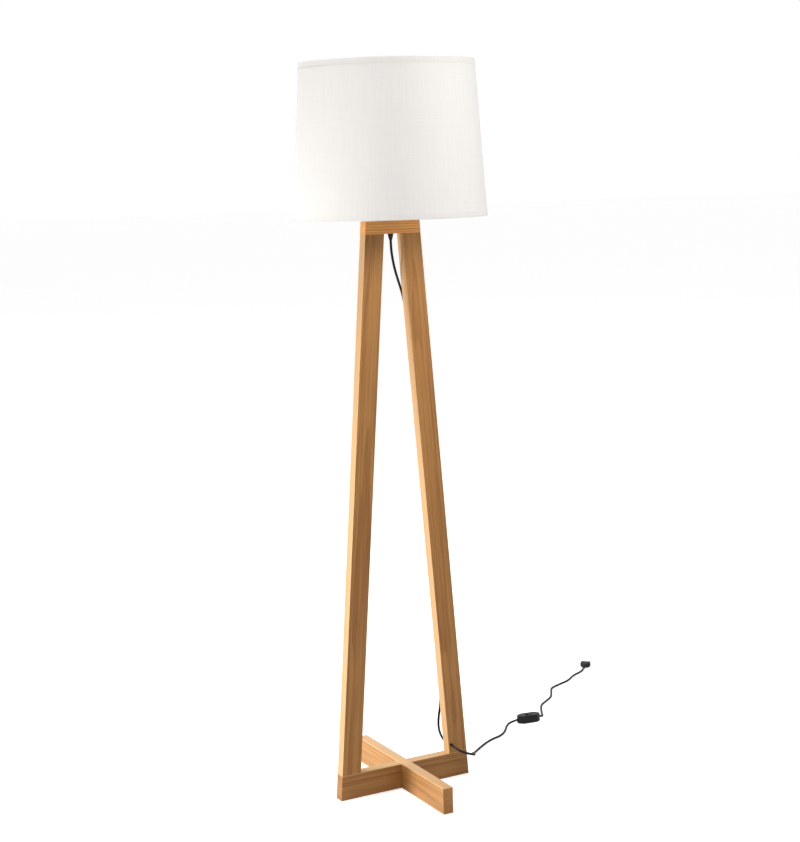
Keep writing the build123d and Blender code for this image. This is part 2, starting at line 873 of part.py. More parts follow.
def switch_plane(level, along=0.0):
    """Level work plane of the switch at a height, its X along the switch."""
    spot = Vector(switch_x, switch_y, level) + switch_way * along
    return Plane(origin=spot, x_dir=switch_way, z_dir=(0, 0, 1))


def switch_outline(inset):
    """Plan of the switch: parallel sides and tapered ends."""
    end = switch_length / 2 - inset
    flat = switch_flat / 2
    side = switch_width / 2 - inset
    tip = switch_tip / 2 - inset
    with BuildSketch() as plan:
        with BuildLine():
            Polyline(
                (-end, -tip), (-flat, -side), (flat, -side), (end, -tip),
                (end, tip), (flat, side), (-flat, side), (-end, tip),
                close=True,
            )
        make_face()
    return plan.sketch


def cord_bore():
    """Round bar the size of the hole for the lead, right through the switch."""
    with BuildPart() as bar:
        with BuildSketch(Plane(origin=switch_plane(half_level, -switch_length).origin, z_dir=switch_way)):
            Circle(cord_radius - bore_grip)
        extrude(amount=2 * switch_length)
    return bar.part


with BuildPart() as switch_base:
    with BuildSketch(switch_plane(0)):
        add(switch_outline(0))
    extrude(amount=half_level)
    fillet(switch_base.faces().sort_by(Axis.Z)[0].edges(), switch_edge)
    with BuildSketch(switch_plane(switch_wall)):
        add(switch_outline(switch_wall))
    extrude(amount=half_level, mode=Mode.SUBTRACT)
    with BuildSketch(switch_plane(switch_wall)):
        with Locations((-switch_screw_offset, 0), (switch_screw_offset, 0)):
            Circle(switch_post_radius)
    extrude(amount=cord_radius)
    add(cord_bore(), mode=Mode.SUBTRACT)
    spots = [switch_plane(0, side * switch_screw_offset) for side in (-1, 1)]
    with Locations(*[Plane(origin=s.origin, z_dir=(0, 0, -1)) for s in spots]):
        CounterBoreHole(
            switch_screw_radius + screw_clearance, switch_screw_head + screw_clearance, switch_wall
        )
keep(switch_base, "switch_base")

pivot_level = switch_height - pivot_drop
with BuildPart() as switch_cover:
    with BuildSketch(switch_plane(half_level)):
        add(switch_outline(0))
    extrude(amount=half_level)
    fillet(switch_cover.faces().sort_by(Axis.Z)[-1].edges(), switch_edge)
    with BuildSketch(switch_plane(half_level)):
        add(switch_outline(switch_wall))
    extrude(amount=half_level - switch_wall, mode=Mode.SUBTRACT)
    with BuildSketch(switch_plane(switch_height)):
        Rectangle(rocker_length + 2 * rocker_gap, rocker_width + 2 * rocker_side_gap)
    extrude(amount=-switch_wall, mode=Mode.SUBTRACT)
    lug_y = rocker_width / 2 + rocker_side_gap
    for side in (-1, 1):
        lug_plane = Plane(
            origin=switch_plane(pivot_level).from_local_coords(Vector(0, side * lug_y, 0)),
            x_dir=switch_way,
            z_dir=switch_plane(0).y_dir * side,
        )
        with BuildSketch(lug_plane):
            Circle(lug_radius)
        extrude(amount=lug_thickness)
    with BuildSketch(switch_plane(switch_height)):
        Rectangle(switch_flat, switch_width)
    extrude(amount=lug_radius, mode=Mode.SUBTRACT)
    with BuildSketch(Plane(origin=switch_plane(pivot_level).origin, z_dir=switch_plane(0).y_dir)):
        Circle(pivot_radius)
    extrude(amount=lug_y + lug_thickness, both=True, mode=Mode.SUBTRACT)
    add(cord_bore(), mode=Mode.SUBTRACT)
keep(switch_cover, "switch_cover")

pivot_spot = switch_plane(pivot_level).origin
across_way = -switch_plane(0).y_dir
tilted_way = switch_way * cos(radians(rocker_tilt)) - Vector(0, 0, sin(radians(rocker_tilt)))
across_switch = Plane(origin=pivot_spot, x_dir=switch_way, z_dir=across_way)
with BuildPart() as rocker:
    with BuildSketch(Plane(origin=pivot_spot, x_dir=tilted_way, z_dir=across_way)):
        half = rocker_length / 2
        crest = pivot_drop + rocker_rise
        with BuildLine():
            Polyline(
                (-half, crest), (0, pivot_drop + rocker_dip), (half, crest),
                (half, -rocker_edge_depth), (0, -rocker_depth), (-half, -rocker_edge_depth),
                close=True,
            )
        make_face()
        Circle(pivot_radius + screw_clearance, mode=Mode.SUBTRACT)
    extrude(amount=rocker_width / 2, both=True)
keep(rocker, "switch_rocker")

with BuildPart() as pivot:
    with BuildSketch(across_switch):
        Circle(pivot_radius)
    extrude(amount=lug_y + lug_thickness, both=True)
keep(pivot, "rocker_pin")

with BuildPart() as switch_screws:
    with BuildSketch(switch_plane(switch_screw_recess)):
        with Locations((-switch_screw_offset, 0), (switch_screw_offset, 0)):
            Circle(switch_screw_head)
    extrude(amount=switch_wall - switch_screw_recess)
    with BuildSketch(switch_plane(switch_wall)):
        with Locations((-switch_screw_offset, 0), (switch_screw_offset, 0)):
            Circle(switch_screw_radius)
    extrude(amount=cord_radius)
keep(switch_screws, "switch_screws")

with BuildPart() as switch_terminals:
    with BuildSketch(switch_plane(switch_wall)):
        for along in (-1, 1):
            along_switch = along * terminal_block_offset
            with Locations((along_switch, -terminal_block_spread), (along_switch, terminal_block_spread)):
                Rectangle(terminal_block_length, terminal_block_width)
    extrude(amount=terminal_block_height)
keep(switch_terminals, "switch_terminals")

# ---------------------------------------------------------------- plug

plug_way = Vector(cos(radians(plug_heading)), sin(radians(plug_heading)), 0)
plug_level = plug_height / 2
plug_base = Plane(origin=(plug_x, plug_y, plug_level), x_dir=plug_way, z_dir=(0, 0, 1))
plug_end = plug_relief + plug_body
shoulder_x = plug_relief + plug_shoulder
full_x = plug_relief + plug_full
pin_face = Plane(origin=plug_base.origin + plug_way * plug_end, x_dir=(0, 0, 1), z_dir=plug_way)

with BuildPart() as plug:
    with BuildSketch(plug_base):
        with BuildLine():
            Polyline(
                (plug_relief, -plug_neck / 2), (shoulder_x, -plug_width / 2 + plug_ease),
                (full_x, -plug_width / 2), (plug_end, -plug_width / 2),
                (plug_end, plug_width / 2), (full_x, plug_width / 2),
                (shoulder_x, plug_width / 2 - plug_ease), (plug_relief, plug_neck / 2),
                close=True,
            )
        make_face()
    extrude(amount=plug_level, both=True)
    fillet(plug.faces().sort_by(Axis.Z)[0].edges(), plug_edge)
    fillet(plug.faces().sort_by(Axis.Z)[-1].edges(), plug_edge)
    with BuildSketch(Plane(origin=plug_base.origin, z_dir=plug_way)):
        Circle(plug_relief_radius)
    with BuildSketch(Plane(origin=plug_base.origin + plug_way * plug_relief, z_dir=plug_way)):
        Circle(plug_relief_radius + plug_relief_flare)
    loft()
    with BuildSketch(pin_face):
        with Locations((0, -pin_spread), (0, pin_spread)):
            Circle(pin_radius)
    extrude(amount=-pin_root, mode=Mode.SUBTRACT)
keep(plug, "plug_body")

with BuildPart() as pins:
    with BuildSketch(pin_face.offset(-pin_root)):
        with Locations((0, -pin_spread), (0, pin_spread)):
            Circle(pin_radius)
    extrude(amount=pin_root + pin_length)
    fillet(pins.faces().group_by(Axis(pin_face.origin, plug_way))[-1].edges(), pin_tip)
keep(pins, "plug_pins")
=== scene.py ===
import math

import bmesh
import bpy
from mathutils import Matrix, Vector


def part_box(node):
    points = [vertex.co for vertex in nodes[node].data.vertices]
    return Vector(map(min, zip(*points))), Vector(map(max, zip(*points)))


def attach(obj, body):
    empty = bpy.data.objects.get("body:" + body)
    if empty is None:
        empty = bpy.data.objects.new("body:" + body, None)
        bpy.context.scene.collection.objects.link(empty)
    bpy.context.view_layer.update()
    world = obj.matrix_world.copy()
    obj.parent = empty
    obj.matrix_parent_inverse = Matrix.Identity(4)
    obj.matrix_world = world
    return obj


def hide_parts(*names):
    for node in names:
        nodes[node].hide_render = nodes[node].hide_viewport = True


# A-frame floor lamp: two slanted oak legs under a cap block on a crossed base, a drum shade on a
# ring fitter, and a black mains lead with a switch. Metres; the origin is on the floor under the
# lamp, +X along the frame rail, +Y along the cross rail to the rear, +Z up.

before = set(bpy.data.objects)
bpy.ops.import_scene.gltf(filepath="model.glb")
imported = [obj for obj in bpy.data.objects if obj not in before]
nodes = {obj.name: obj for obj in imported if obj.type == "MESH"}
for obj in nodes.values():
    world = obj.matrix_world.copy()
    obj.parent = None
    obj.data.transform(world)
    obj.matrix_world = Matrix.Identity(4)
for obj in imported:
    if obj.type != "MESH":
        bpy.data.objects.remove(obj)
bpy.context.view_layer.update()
scene = bpy.context.scene

# ------------------------------------------------------------------ studio
# A white studio: a glowing white floor and surround, a large soft lamp high on the left, a low
# panel at the left for the timber's narrow faces, and two small soft lamps on the shade from the
# front and the right.

camera_place = Vector((-1.6654, -3.0675, 1.3348))
camera_turn = math.radians(-28.67)      # about the vertical
camera_dip = math.radians(8.76)
camera_roll = -0.0238

camera_data = bpy.data.cameras.new("camera")
camera_data.lens = 72.3
camera_data.sensor_width = 36.0
camera_data.clip_end = 200.0
camera = bpy.data.objects.new("camera", camera_data)
scene.collection.objects.link(camera)
camera.matrix_world = (
    Matrix.Translation(camera_place)
    @ Matrix.Rotation(camera_turn, 4, "Z")
    @ Matrix.Rotation(math.radians(90) - camera_dip, 4, "X")
    @ Matrix.Rotation(camera_roll, 4, "Z")
)
scene.camera = camera
scene.view_settings.view_transform = "Standard"

surround_light = 0.42       # what lights the lamp; the camera and reflections see full white
world = bpy.data.worlds.new("studio")
world.use_nodes = True
world_path = world.node_tree.nodes.new("ShaderNodeLightPath")
world_level = world.node_tree.nodes.new("ShaderNodeMapRange")
world_level.inputs["To Min"].default_value = surround_light
world_seen = world.node_tree.nodes.new("ShaderNodeMath")
world_seen.operation = "MAXIMUM"
world.node_tree.links.new(world_path.outputs["Is Camera Ray"], world_seen.inputs[0])
world.node_tree.links.new(world_path.outputs["Is Glossy Ray"], world_seen.inputs[1])
world.node_tree.links.new(world_seen.outputs[0], world_level.inputs["Value"])
world.node_tree.links.new(world_level.outputs[0], world.node_tree.nodes["Background"].inputs["Strength"])
world.node_tree.nodes["Background"].inputs["Color"].default_value = (1.0, 1.0, 1.0, 1.0)
scene.world = world


def soft_lamp(name, place, target, width, height, watts, spread=180.0):
    """A rectangular light panel facing its target."""
    light = bpy.data.lights.new(name, "AREA")
    light.shape = "RECTANGLE"
    light.size, light.size_y = width, height
    light.energy = watts
    light.spread = math.radians(spread)
    panel = bpy.data.objects.new(name, light)
    scene.collection.objects.link(panel)
    panel.location = place
    panel.rotation_euler = (Vector(target) - Vector(place)).to_track_quat("-Z", "Y").to_euler()


soft_lamp("left_panel", (-2.3, 0.7, 0.4), (0.0, 0.0, 0.4), 0.7, 0.9, 13.0, 72.0)
soft_lamp("high_left", (-1.6, 1.6, 6.0), (0.0, 0.0, 0.2), 2.5, 2.5, 222.0)
soft_lamp("front_high", (-0.2, -2.4, 2.4), (0.0, 0.0, 1.45), 1.0, 1.0, 6.8, 70.0)
soft_lamp("right_high", (2.2, -1.3, 1.9), (0.0, 0.0, 1.45), 0.8, 0.8, 5.0, 80.0)

floor_mesh = bpy.data.meshes.new("floor")
floor_reach = 40.0
floor_glow_level = 0.62     # seen by the camera only
floor_mesh.from_pydata(
    [(x * floor_reach, y * floor_reach, 0.0) for x, y in ((-1, -1), (1, -1), (1, 1), (-1, 1))],
    [],
    [(0, 1, 2, 3)],
)
floor = bpy.data.objects.new("floor", floor_mesh)
scene.collection.objects.link(floor)
floor_paint = bpy.data.materials.new("floor_paint")
floor_paint.use_nodes = True
floor_shader = floor_paint.node_tree.nodes["Principled BSDF"]
floor_shader.inputs["Base Color"].default_value = (0.8, 0.8, 0.8, 1)
floor_shader.inputs["Roughness"].default_value = 0.9
floor_shader.inputs["Specular IOR Level"].default_value = 0.1
floor_shader.inputs["Emission Color"].default_value = (1, 1, 1, 1)
floor_path = floor_paint.node_tree.nodes.new("ShaderNodeLightPath")
floor_glow = floor_paint.node_tree.nodes.new("ShaderNodeMath")
floor_glow.operation = "MULTIPLY"
floor_glow.inputs[1].default_value = floor_glow_level
floor_paint.node_tree.links.new(floor_path.outputs["Is Camera Ray"], floor_glow.inputs[0])
floor_paint.node_tree.links.new(floor_glow.outputs[0], floor_shader.inputs["Emission Strength"])
floor_mesh.materials.append(floor_paint)

# ------------------------------------------------------------------ mains lead
# Round black PVC-sheathed two-core lead. It leaves the grip under the block, is clipped behind the
# right leg, bows out, comes forward through the leg and loops down to the floor and the switch.

lead_diameter = 0.0052
lamp_route = [
    (0, 0, 1.187), (0, 0, 1.162), (0.0045, 0.003, 1.137), (0.0125, 0.0085, 1.113),
    (0.023, 0.015, 1.09), (0.033, 0.017, 1.064), (0.0396, 0.0142, 1.031),
    (0.0420, 0.0142, 1.000), (0.1013, 0.0142, 0.237),
    (0.1037, 0.0142, 0.206), (0.1065, 0.0185, 0.17), (0.109, 0.027, 0.146),
    (0.1112, 0.0363, 0.127), (0.1122, 0.0402, 0.111), (0.1128, 0.0405, 0.095),
    (0.1136, 0.0327, 0.0817), (0.114, 0.0193, 0.074), (0.114, -0.012, 0.0732),
    (0.1145, -0.0285, 0.0708), (0.1195, -0.042, 0.0673), (0.13, -0.0495, 0.063),
    (0.1425, -0.05, 0.0585), (0.1538, -0.0425, 0.053), (0.1645, -0.025, 0.0465),
    (0.178, 0.001, 0.0375), (0.1935, 0.031, 0.026), (0.211, 0.06, 0.013),
    (0.235, 0.0885, 0.0032), (0.269, 0.116, 0.0026), (0.308, 0.141, 0.0026),
    (0.346, 0.153, 0.0026), (0.371, 0.176, 0.0026), (0.388, 0.199, 0.0026),
    (0.407, 0.213, 0.006), (0.4332, 0.2102, 0.0095),
]
plug_route = [
    (0.4788, 0.2038, 0.0095), (0.4893, 0.2024, 0.0092), (0.4962, 0.2068, 0.0074),
    (0.5035, 0.2185, 0.0046), (0.5155, 0.24, 0.0026), (0.531, 0.266, 0.0026),
    (0.548, 0.29, 0.0026), (0.574, 0.3075, 0.0026), (0.602, 0.327, 0.0026),
    (0.6225, 0.357, 0.0026), (0.641, 0.386, 0.0026), (0.676, 0.401, 0.0026),
    (0.713, 0.414, 0.0026), (0.749, 0.444, 0.0026), (0.776, 0.4545, 0.003),
    (0.7925, 0.4617, 0.005), (0.804, 0.474, 0.0069),
]


def add_node(tree, kind, inputs=None, **settings):
    """A node with its settings, and each input linked or set."""
    made = tree.nodes.new(kind)
    for key, value in settings.items():
        setattr(made, key, value)
    for key, value in (inputs or {}).items():
        if isinstance(value, bpy.types.NodeSocket):
            tree.links.new(value, made.inputs[key])
        else:
            made.inputs[key].default_value = value
    return made


def maths(tree, operation, first, second=0.0, third=0.0):
    """Result of a math node on two or three numbers."""
    return add_node(tree, "ShaderNodeMath", {0: first, 1: second, 2: third}, operation=operation).outputs[0]


def vector_maths(tree, operation, first, second=(0.0, 0.0, 0.0)):
    """Result of a vector math node."""
    made = add_node(tree, "ShaderNodeVectorMath", {0: first, 1: second}, operation=operation)
    return made.outputs["Value" if operation in ("LENGTH", "DOT_PRODUCT", "DISTANCE") else "Vector"]


def blend(tree, share, first, second):
    """Mix of two colours."""
    inputs = {0: share, 6: first, 7: second}
    return add_node(tree, "ShaderNodeMix", inputs, data_type="RGBA").outputs[2]


def stretched(tree, vector, factors):
    """A place scaled along each axis, so that a pattern on it runs long or fine."""
    return vector_maths(tree, "MULTIPLY", vector, factors)


def ramp(tree, value, low, high, out_low=0.0, out_high=1.0):
    """Smooth step of a value from low to high."""
    inputs = {"Value": value, "From Min": low, "From Max": high, "To Min": out_low, "To Max": out_high}
    return add_node(tree, "ShaderNodeMapRange", inputs, interpolation_type="SMOOTHSTEP").outputs[0]


def cloud(tree, vector, scale, detail=3.0, roughness=0.5):
    """Noise value at a scale."""
    inputs = {"Vector": vector, "Scale": scale, "Detail": detail, "Roughness": roughness}
    return add_node(tree, "ShaderNodeTexNoise", inputs).outputs[0]


def new_group(name, inputs, outputs):
    """Empty shader group with named sockets, as (group, input sockets, output node)."""
    group = bpy.data.node_groups.new(name, "ShaderNodeTree")
    for label, value in inputs.items():
        kind = "NodeSocketFloat"
        if not isinstance(value, (int, float)):
            kind = "NodeSocketColor" if len(value) == 4 else "NodeSocketVector"
        group.interface.new_socket(label, in_out="INPUT", socket_type=kind).default_value = value
    for label, kind in outputs.items():
        group.interface.new_socket(label, in_out="OUTPUT", socket_type=kind)
    return group, group.nodes.new("NodeGroupInput").outputs, group.nodes.new("NodeGroupOutput")


surface_outputs = {
    "Color": "NodeSocketColor",
    "Roughness": "NodeSocketFloat",
    "Height": "NodeSocketFloat",
}

# Fine spark-eroded skin of moulded plastic and PVC, with rubbed patches a little lighter.
moulded, skin, moulded_out = new_group(
    "moulded_skin",
    {"Vector": (0, 0, 0), "Base": (0.02, 0.02, 0.02, 1), "Rubbed": (0.05, 0.05, 0.05, 1),
     "Grain Scale": 2600.0, "Patch Scale": 60.0, "Gloss": 0.4},
    surface_outputs,
)
moulded_grain = cloud(moulded, skin["Vector"], skin["Grain Scale"], 2.0, 0.6)
moulded_patch = ramp(moulded, cloud(moulded, skin["Vector"], skin["Patch Scale"], 4.0, 0.6), 0.45, 0.75)
moulded_worn = maths(moulded, "MULTIPLY", moulded_patch, moulded_grain)
moulded.links.new(blend(moulded, moulded_worn, skin["Base"], skin["Rubbed"]), moulded_out.inputs["Color"])
moulded_rough = maths(moulded, "MULTIPLY_ADD", moulded_grain, 0.18, skin["Gloss"])
moulded_rough = maths(moulded, "MULTIPLY_ADD", moulded_patch, -0.06, moulded_rough)
moulded.links.new(moulded_rough, moulded_out.inputs["Roughness"])
moulded.links.new(moulded_grain, moulded_out.inputs["Height"])


def new_material(name, settings):
    """Material with its Principled sockets set, as (material, tree, shader)."""
    material = bpy.data.materials.new(name)
    material.use_nodes = True
    shader = material.node_tree.nodes["Principled BSDF"]
    for key, value in settings.items():
        shader.inputs[key].default_value = value
    return material, material.node_tree, shader


def dress(tree, shader, surface, values, depth, strength=1.0):
    """Put a surface group on a shader, with its height as a bump of the given depth."""
    group = add_node(tree, "ShaderNodeGroup", node_tree=surface)
    for key, value in values.items():
        if isinstance(value, bpy.types.NodeSocket):
            tree.links.new(value, group.inputs[key])
        else:
            group.inputs[key].default_value = value
    tree.links.new(group.outputs["Color"], shader.inputs["Base Color"])
    tree.links.new(group.outputs["Roughness"], shader.inputs["Roughness"])
    bump = {"Height": group.outputs["Height"], "Distance": depth, "Strength": strength}
    tree.links.new(add_node(tree, "ShaderNodeBump", bump).outputs[0], shader.inputs["Normal"])
    return group


def object_place(tree):
    """Object coordinates."""
    return add_node(tree, "ShaderNodeTexCoord").outputs["Object"]


def plastic(name, base, rubbed, gloss, grain_scale=2600.0, depth=0.00003):
    """Moulded plastic or PVC in one colour."""
    material, tree, shader = new_material(name, {"Specular IOR Level": 0.26})
    values = {"Vector": object_place(tree), "Base": (*base, 1), "Rubbed": (*rubbed, 1),
              "Gloss": gloss, "Grain Scale": grain_scale}
    dress(tree, shader, moulded, values, depth)
    return material


sheath = plastic("black_pvc_sheath", (0.004, 0.004, 0.004), (0.009, 0.009, 0.009), 0.42, 900.0, 0.00006)


def show(piece, body, slot, *replaced):
    """Let a finished piece ride on its body and stand for the CAD nodes it replaces."""
    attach(piece, body)
    if replaced:
        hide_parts(*replaced)
    return piece


def lead_curve(name, route, material):
    """Smooth round lead along its control points."""
    curve = bpy.data.curves.new(name, "CURVE")
    curve.dimensions = "3D"
    curve.bevel_depth = lead_diameter / 2
    curve.bevel_resolution = 5
    curve.resolution_u = 12
    curve.use_fill_caps = True
    line = curve.splines.new("NURBS")
    line.points.add(len(route) - 1)
    for point, place in zip(line.points, route):
        point.co = (*place, 1.0)
    line.order_u = 3
    line.use_endpoint_u = True
    curve.materials.append(material)
    piece = bpy.data.objects.new(name, curve)
    scene.collection.objects.link(piece)
    return piece


lamp_lead = show(lead_curve("lamp_lead_sheath", lamp_route, sheath), "frame", "lead_sheath", "lamp_lead")
plug_lead = show(lead_curve("plug_lead_sheath", plug_route, sheath), "frame", "lead_sheath", "plug_lead")

# ------------------------------------------------------------------ timber
# Five pieces of oiled light oak: two legs, a cap block with its grain level, and the two rails of
# the crossed base. Flat-sawn boards, planed, with eased long edges; butted, dowelled and glued.

lean_run = (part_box("frame_rail")[1].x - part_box("top_block")[1].x) / (
    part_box("top_block")[0].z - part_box("frame_rail")[0].z
)
lean = math.atan(lean_run)

timber, wood, timber_out = new_group(
    "oiled_oak",
    {"Vector": (0, 0, 0), "Pith": (0, 0, 0), "Half Size": (0.022, 0.0115, 1.0), "Ring Spacing": 0.0035,
     "Light": (0.6, 0.36, 0.17, 1), "Dark": (0.4, 0.2, 0.08, 1), "Figure": 0.42, "Painted Side Light": (0, 0, 0)},
    surface_outputs,
)
place = wood["Vector"]
drift_noise = {"Vector": stretched(timber, place, (1.0, 1.0, 0.1)), "Scale": 22.0, "Detail": 2.0}
drift = add_node(timber, "ShaderNodeTexNoise", drift_noise).outputs[1]
drift = stretched(timber, vector_maths(timber, "SUBTRACT", drift, (0.5, 0.5, 0.5)), (0.012, 0.012, 0.0))
from_pith = vector_maths(timber, "ADD", vector_maths(timber, "SUBTRACT", place, wood["Pith"]), drift)
ring_radius = vector_maths(timber, "LENGTH", stretched(timber, from_pith, (1.0, 1.0, 0.035)))
ring_phase = maths(timber, "FRACT", maths(timber, "DIVIDE", ring_radius, wood["Ring Spacing"]))
ring_end = ramp(timber, ring_phase, 1.0, 0.93)
late_wood = maths(timber, "MULTIPLY", ramp(timber, ring_phase, 0.15, 0.9), ring_end)
fibre = cloud(timber, stretched(timber, place, (1.0, 1.0, 0.018)), 750.0, 4.0, 0.65)
streak = cloud(timber, stretched(timber, place, (1.0, 1.0, 0.012)), 260.0, 3.0, 0.55)
pore = ramp(timber, cloud(timber, stretched(timber, place, (1.0, 1.0, 0.06)), 1500.0, 1.0), 0.62, 0.72)
pore = maths(timber, "MULTIPLY", pore, maths(timber, "SUBTRACT", 1.0, late_wood))
tone = cloud(timber, stretched(timber, place, (1.0, 1.0, 0.25)), 14.0, 2.0)
figure = maths(timber, "MULTIPLY", late_wood, wood["Figure"])
figure = maths(timber, "MULTIPLY_ADD", maths(timber, "SUBTRACT", fibre, 0.5), 1.1, figure)
figure = maths(timber, "MULTIPLY_ADD", maths(timber, "SUBTRACT", streak, 0.42), 1.7, figure)
figure = maths(timber, "MULTIPLY_ADD", maths(timber, "SUBTRACT", tone, 0.5), 0.9, figure)
figure = maths(timber, "MULTIPLY_ADD", pore, 0.35, figure)
figure = add_node(timber, "ShaderNodeClamp", {"Value": figure}).outputs[0]
across = vector_maths(timber, "DIVIDE", vector_maths(timber, "ABSOLUTE", place), wood["Half Size"])
sides = add_node(timber, "ShaderNodeSeparateXYZ", {0: across}).outputs
arris = maths(timber, "MULTIPLY", ramp(timber, sides[0], 0.93, 1.0), ramp(timber, sides[1], 0.88, 1.0))
bare_wood = blend(timber, figure, wood["Light"], wood["Dark"])
# Painted light: the faces the lamps fall on, chosen per board, are lifted towards a pale colour.
painted_side_light = add_node(timber, "ShaderNodeSeparateXYZ", {0: wood["Painted Side Light"]}).outputs
painted_light_x = maths(timber, "MULTIPLY", ramp(timber, sides[0], 0.965, 0.985), painted_side_light[0])
painted_light_y = maths(timber, "MULTIPLY", ramp(timber, sides[1], 0.94, 0.97), painted_side_light[1])
bare_wood = blend(timber, maths(timber, "MAXIMUM", painted_light_x, painted_light_y), bare_wood, (0.78, 0.50, 0.24, 1))
# Painted highlight: the long arrises are lightened towards a pale colour.
highlit_edge_wood = blend(timber, maths(timber, "MULTIPLY", arris, 0.2), bare_wood, (0.80, 0.55, 0.30, 1))
timber.links.new(highlit_edge_wood, timber_out.inputs["Color"])
timber.links.new(maths(timber, "MULTIPLY_ADD", figure, 0.16, 0.36), timber_out.inputs["Roughness"])
grain_height = maths(timber, "SUBTRACT", maths(timber, "MULTIPLY", fibre, 0.6), pore)
timber.links.new(grain_height, timber_out.inputs["Height"])

light_oak, dark_oak = (0.44, 0.205, 0.056), (0.235, 0.086, 0.017)
rail_turn, cross_turn = (0, math.pi / 2, 0), (-math.pi / 2, 0, 0)
# board: turn of its grain, pith beside it, half sizes across, ring spacing, tone of its colour (raised
# on the cap block as painted light, lowered on the frame rail as painted shade), and how much painted
# light lifts its narrow faces
boards = {
    "leg_left": ((0, lean, 0), (0.006, 0.075, -0.25), (0.022, 0.0115), 0.0042, 0.88, (0.45, 0, 0)),
    "leg_right": ((0, -lean, 0), (-0.009, 0.068, 0.3), (0.022, 0.0115), 0.0038, 0.94, (0.45, 0, 0)),
    # The cap block's tone is raised as painted light against the shadow of the shade above it.
    "top_block": (rail_turn, (-0.045, 0.03, 0.1), (0.01325, 0.0115), 0.0042, 1.95, (0.2, 0, 0)),
    # The frame rail's tone is lowered as painted shade near the floor.
    "frame_rail": (rail_turn, (0.012, 0.058, 0.12), (0.027, 0.0115), 0.0046, 0.86, (0.6, 0, 0)),
    "cross_rail": (cross_turn, (-0.062, 0.008, -0.09), (0.0115, 0.0278), 0.0044, 1.04, (0.1, 0.7, 0)),
}
for node, (turn, pith, half_size, spacing, tone_and_painted_light, painted_light_faces) in boards.items():
    material, tree, shader = new_material(f"oiled_oak_{node}", {"Specular IOR Level": 0.38})
    low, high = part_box(node)
    mapping = {"Vector": object_place(tree), "Location": (low + high) / 2, "Rotation": turn}
    values = {
        "Vector": add_node(tree, "ShaderNodeMapping", mapping, vector_type="TEXTURE").outputs[0],
        "Pith": pith,
        "Half Size": (*half_size, 1.0),
        "Ring Spacing": spacing,
        "Painted Side Light": painted_light_faces,
        "Light": (*[c * tone_and_painted_light for c in light_oak], 1),
        "Dark": (*[c * tone_and_painted_light for c in dark_oak], 1),
    }
    dress(tree, shader, timber, values, 0.00012)
    nodes[node].data.materials.clear()
    nodes[node].data.materials.append(material)


def paint(material, *names):
    """Give CAD nodes whose shape is right their finish."""
    for name in names:
        nodes[name].data.materials.clear()
        nodes[name].data.materials.append(material)


# ------------------------------------------------------------------ joinery
# Beech dowels in the joints, zinc-plated wood screws driven up through the frame rail and at the
# lap, and four round pads of pressed wool felt let into the undersides of the rails.

beech, tree, shader = new_material("raw_beech", {"Specular IOR Level": 0.3})
beech_values = {"Vector": object_place(tree), "Pith": (0.03, 0.02, 0), "Half Size": (1, 1, 1),
                "Ring Spacing": 0.0018, "Light": (0.68, 0.47, 0.28, 1), "Dark": (0.55, 0.35, 0.19, 1)}
dress(tree, shader, timber, beech_values, 0.00008)
paint(beech, "joint_dowels")

# Metal skin: fine wiped scratches in one direction and a slow change of tarnish.
metal, plate, metal_out = new_group(
    "plated_metal",
    {"Vector": (0, 0, 0), "Bright": (0.7, 0.7, 0.7, 1), "Dull": (0.5, 0.5, 0.5, 1), "Gloss": 0.25,
     "Brush": (900.0, 900.0, 60.0)},
    surface_outputs,
)
scratches = cloud(metal, stretched(metal, plate["Vector"], plate["Brush"]), 1.0, 3.0, 0.7)
tarnish = ramp(metal, cloud(metal, plate["Vector"], 90.0, 4.0, 0.6), 0.35, 0.75)
metal.links.new(blend(metal, tarnish, plate["Bright"], plate["Dull"]), metal_out.inputs["Color"])
metal_rough = maths(metal, "MULTIPLY_ADD", scratches, 0.16, plate["Gloss"])
metal.links.new(maths(metal, "MULTIPLY_ADD", tarnish, 0.1, metal_rough), metal_out.inputs["Roughness"])
metal.links.new(scratches, metal_out.inputs["Height"])


def metal_finish(name, bright, dull, gloss):
    """Plated or bare metal."""
    material, tree, shader = new_material(name, {"Metallic": 1.0})
    values = {"Vector": object_place(tree), "Bright": (*bright, 1), "Dull": (*dull, 1), "Gloss": gloss}
    dress(tree, shader, metal, values, 0.00001)
    return material


zinc = metal_finish("zinc_plate", (0.66, 0.67, 0.68), (0.45, 0.46, 0.46), 0.22)
paint(zinc, "foot_screws", "lap_screw", "switch_screws", "clip_nails", "rocker_pin")

# Cloth: crossing threads with slubs, and painted shade in the hollows between the threads. With a
# fine pitch and strong slubs it also serves for felt.
weave, thread, weave_out = new_group(
    "plain_weave",
    {"Vector": (0, 0, 0), "Pitch": 0.0009, "Light": (0.8, 0.79, 0.76, 1), "Dark": (0.7, 0.69, 0.66, 1),
     "Slub": 0.4},
    surface_outputs,
)
thread_place = add_node(weave, "ShaderNodeSeparateXYZ", {0: thread["Vector"]}).outputs
half_turns = [maths(weave, "DIVIDE", thread_place[axis], thread["Pitch"]) for axis in (0, 1)]
warp, weft = [maths(weave, "SINE", maths(weave, "MULTIPLY", turns, math.pi)) for turns in half_turns]
over = ramp(weave, maths(weave, "MULTIPLY", warp, weft), -0.3, 0.3)
threads = {0: over, 2: maths(weave, "ABSOLUTE", warp), 3: maths(weave, "ABSOLUTE", weft)}
lift = add_node(weave, "ShaderNodeMix", threads).outputs[0]
long_slub = cloud(weave, stretched(weave, thread["Vector"], (330.0, 9.0, 1.0)), 1.0, 3.0, 0.6)
cross_slub = cloud(weave, stretched(weave, thread["Vector"], (7.0, 420.0, 1.0)), 1.0, 2.0, 0.6)
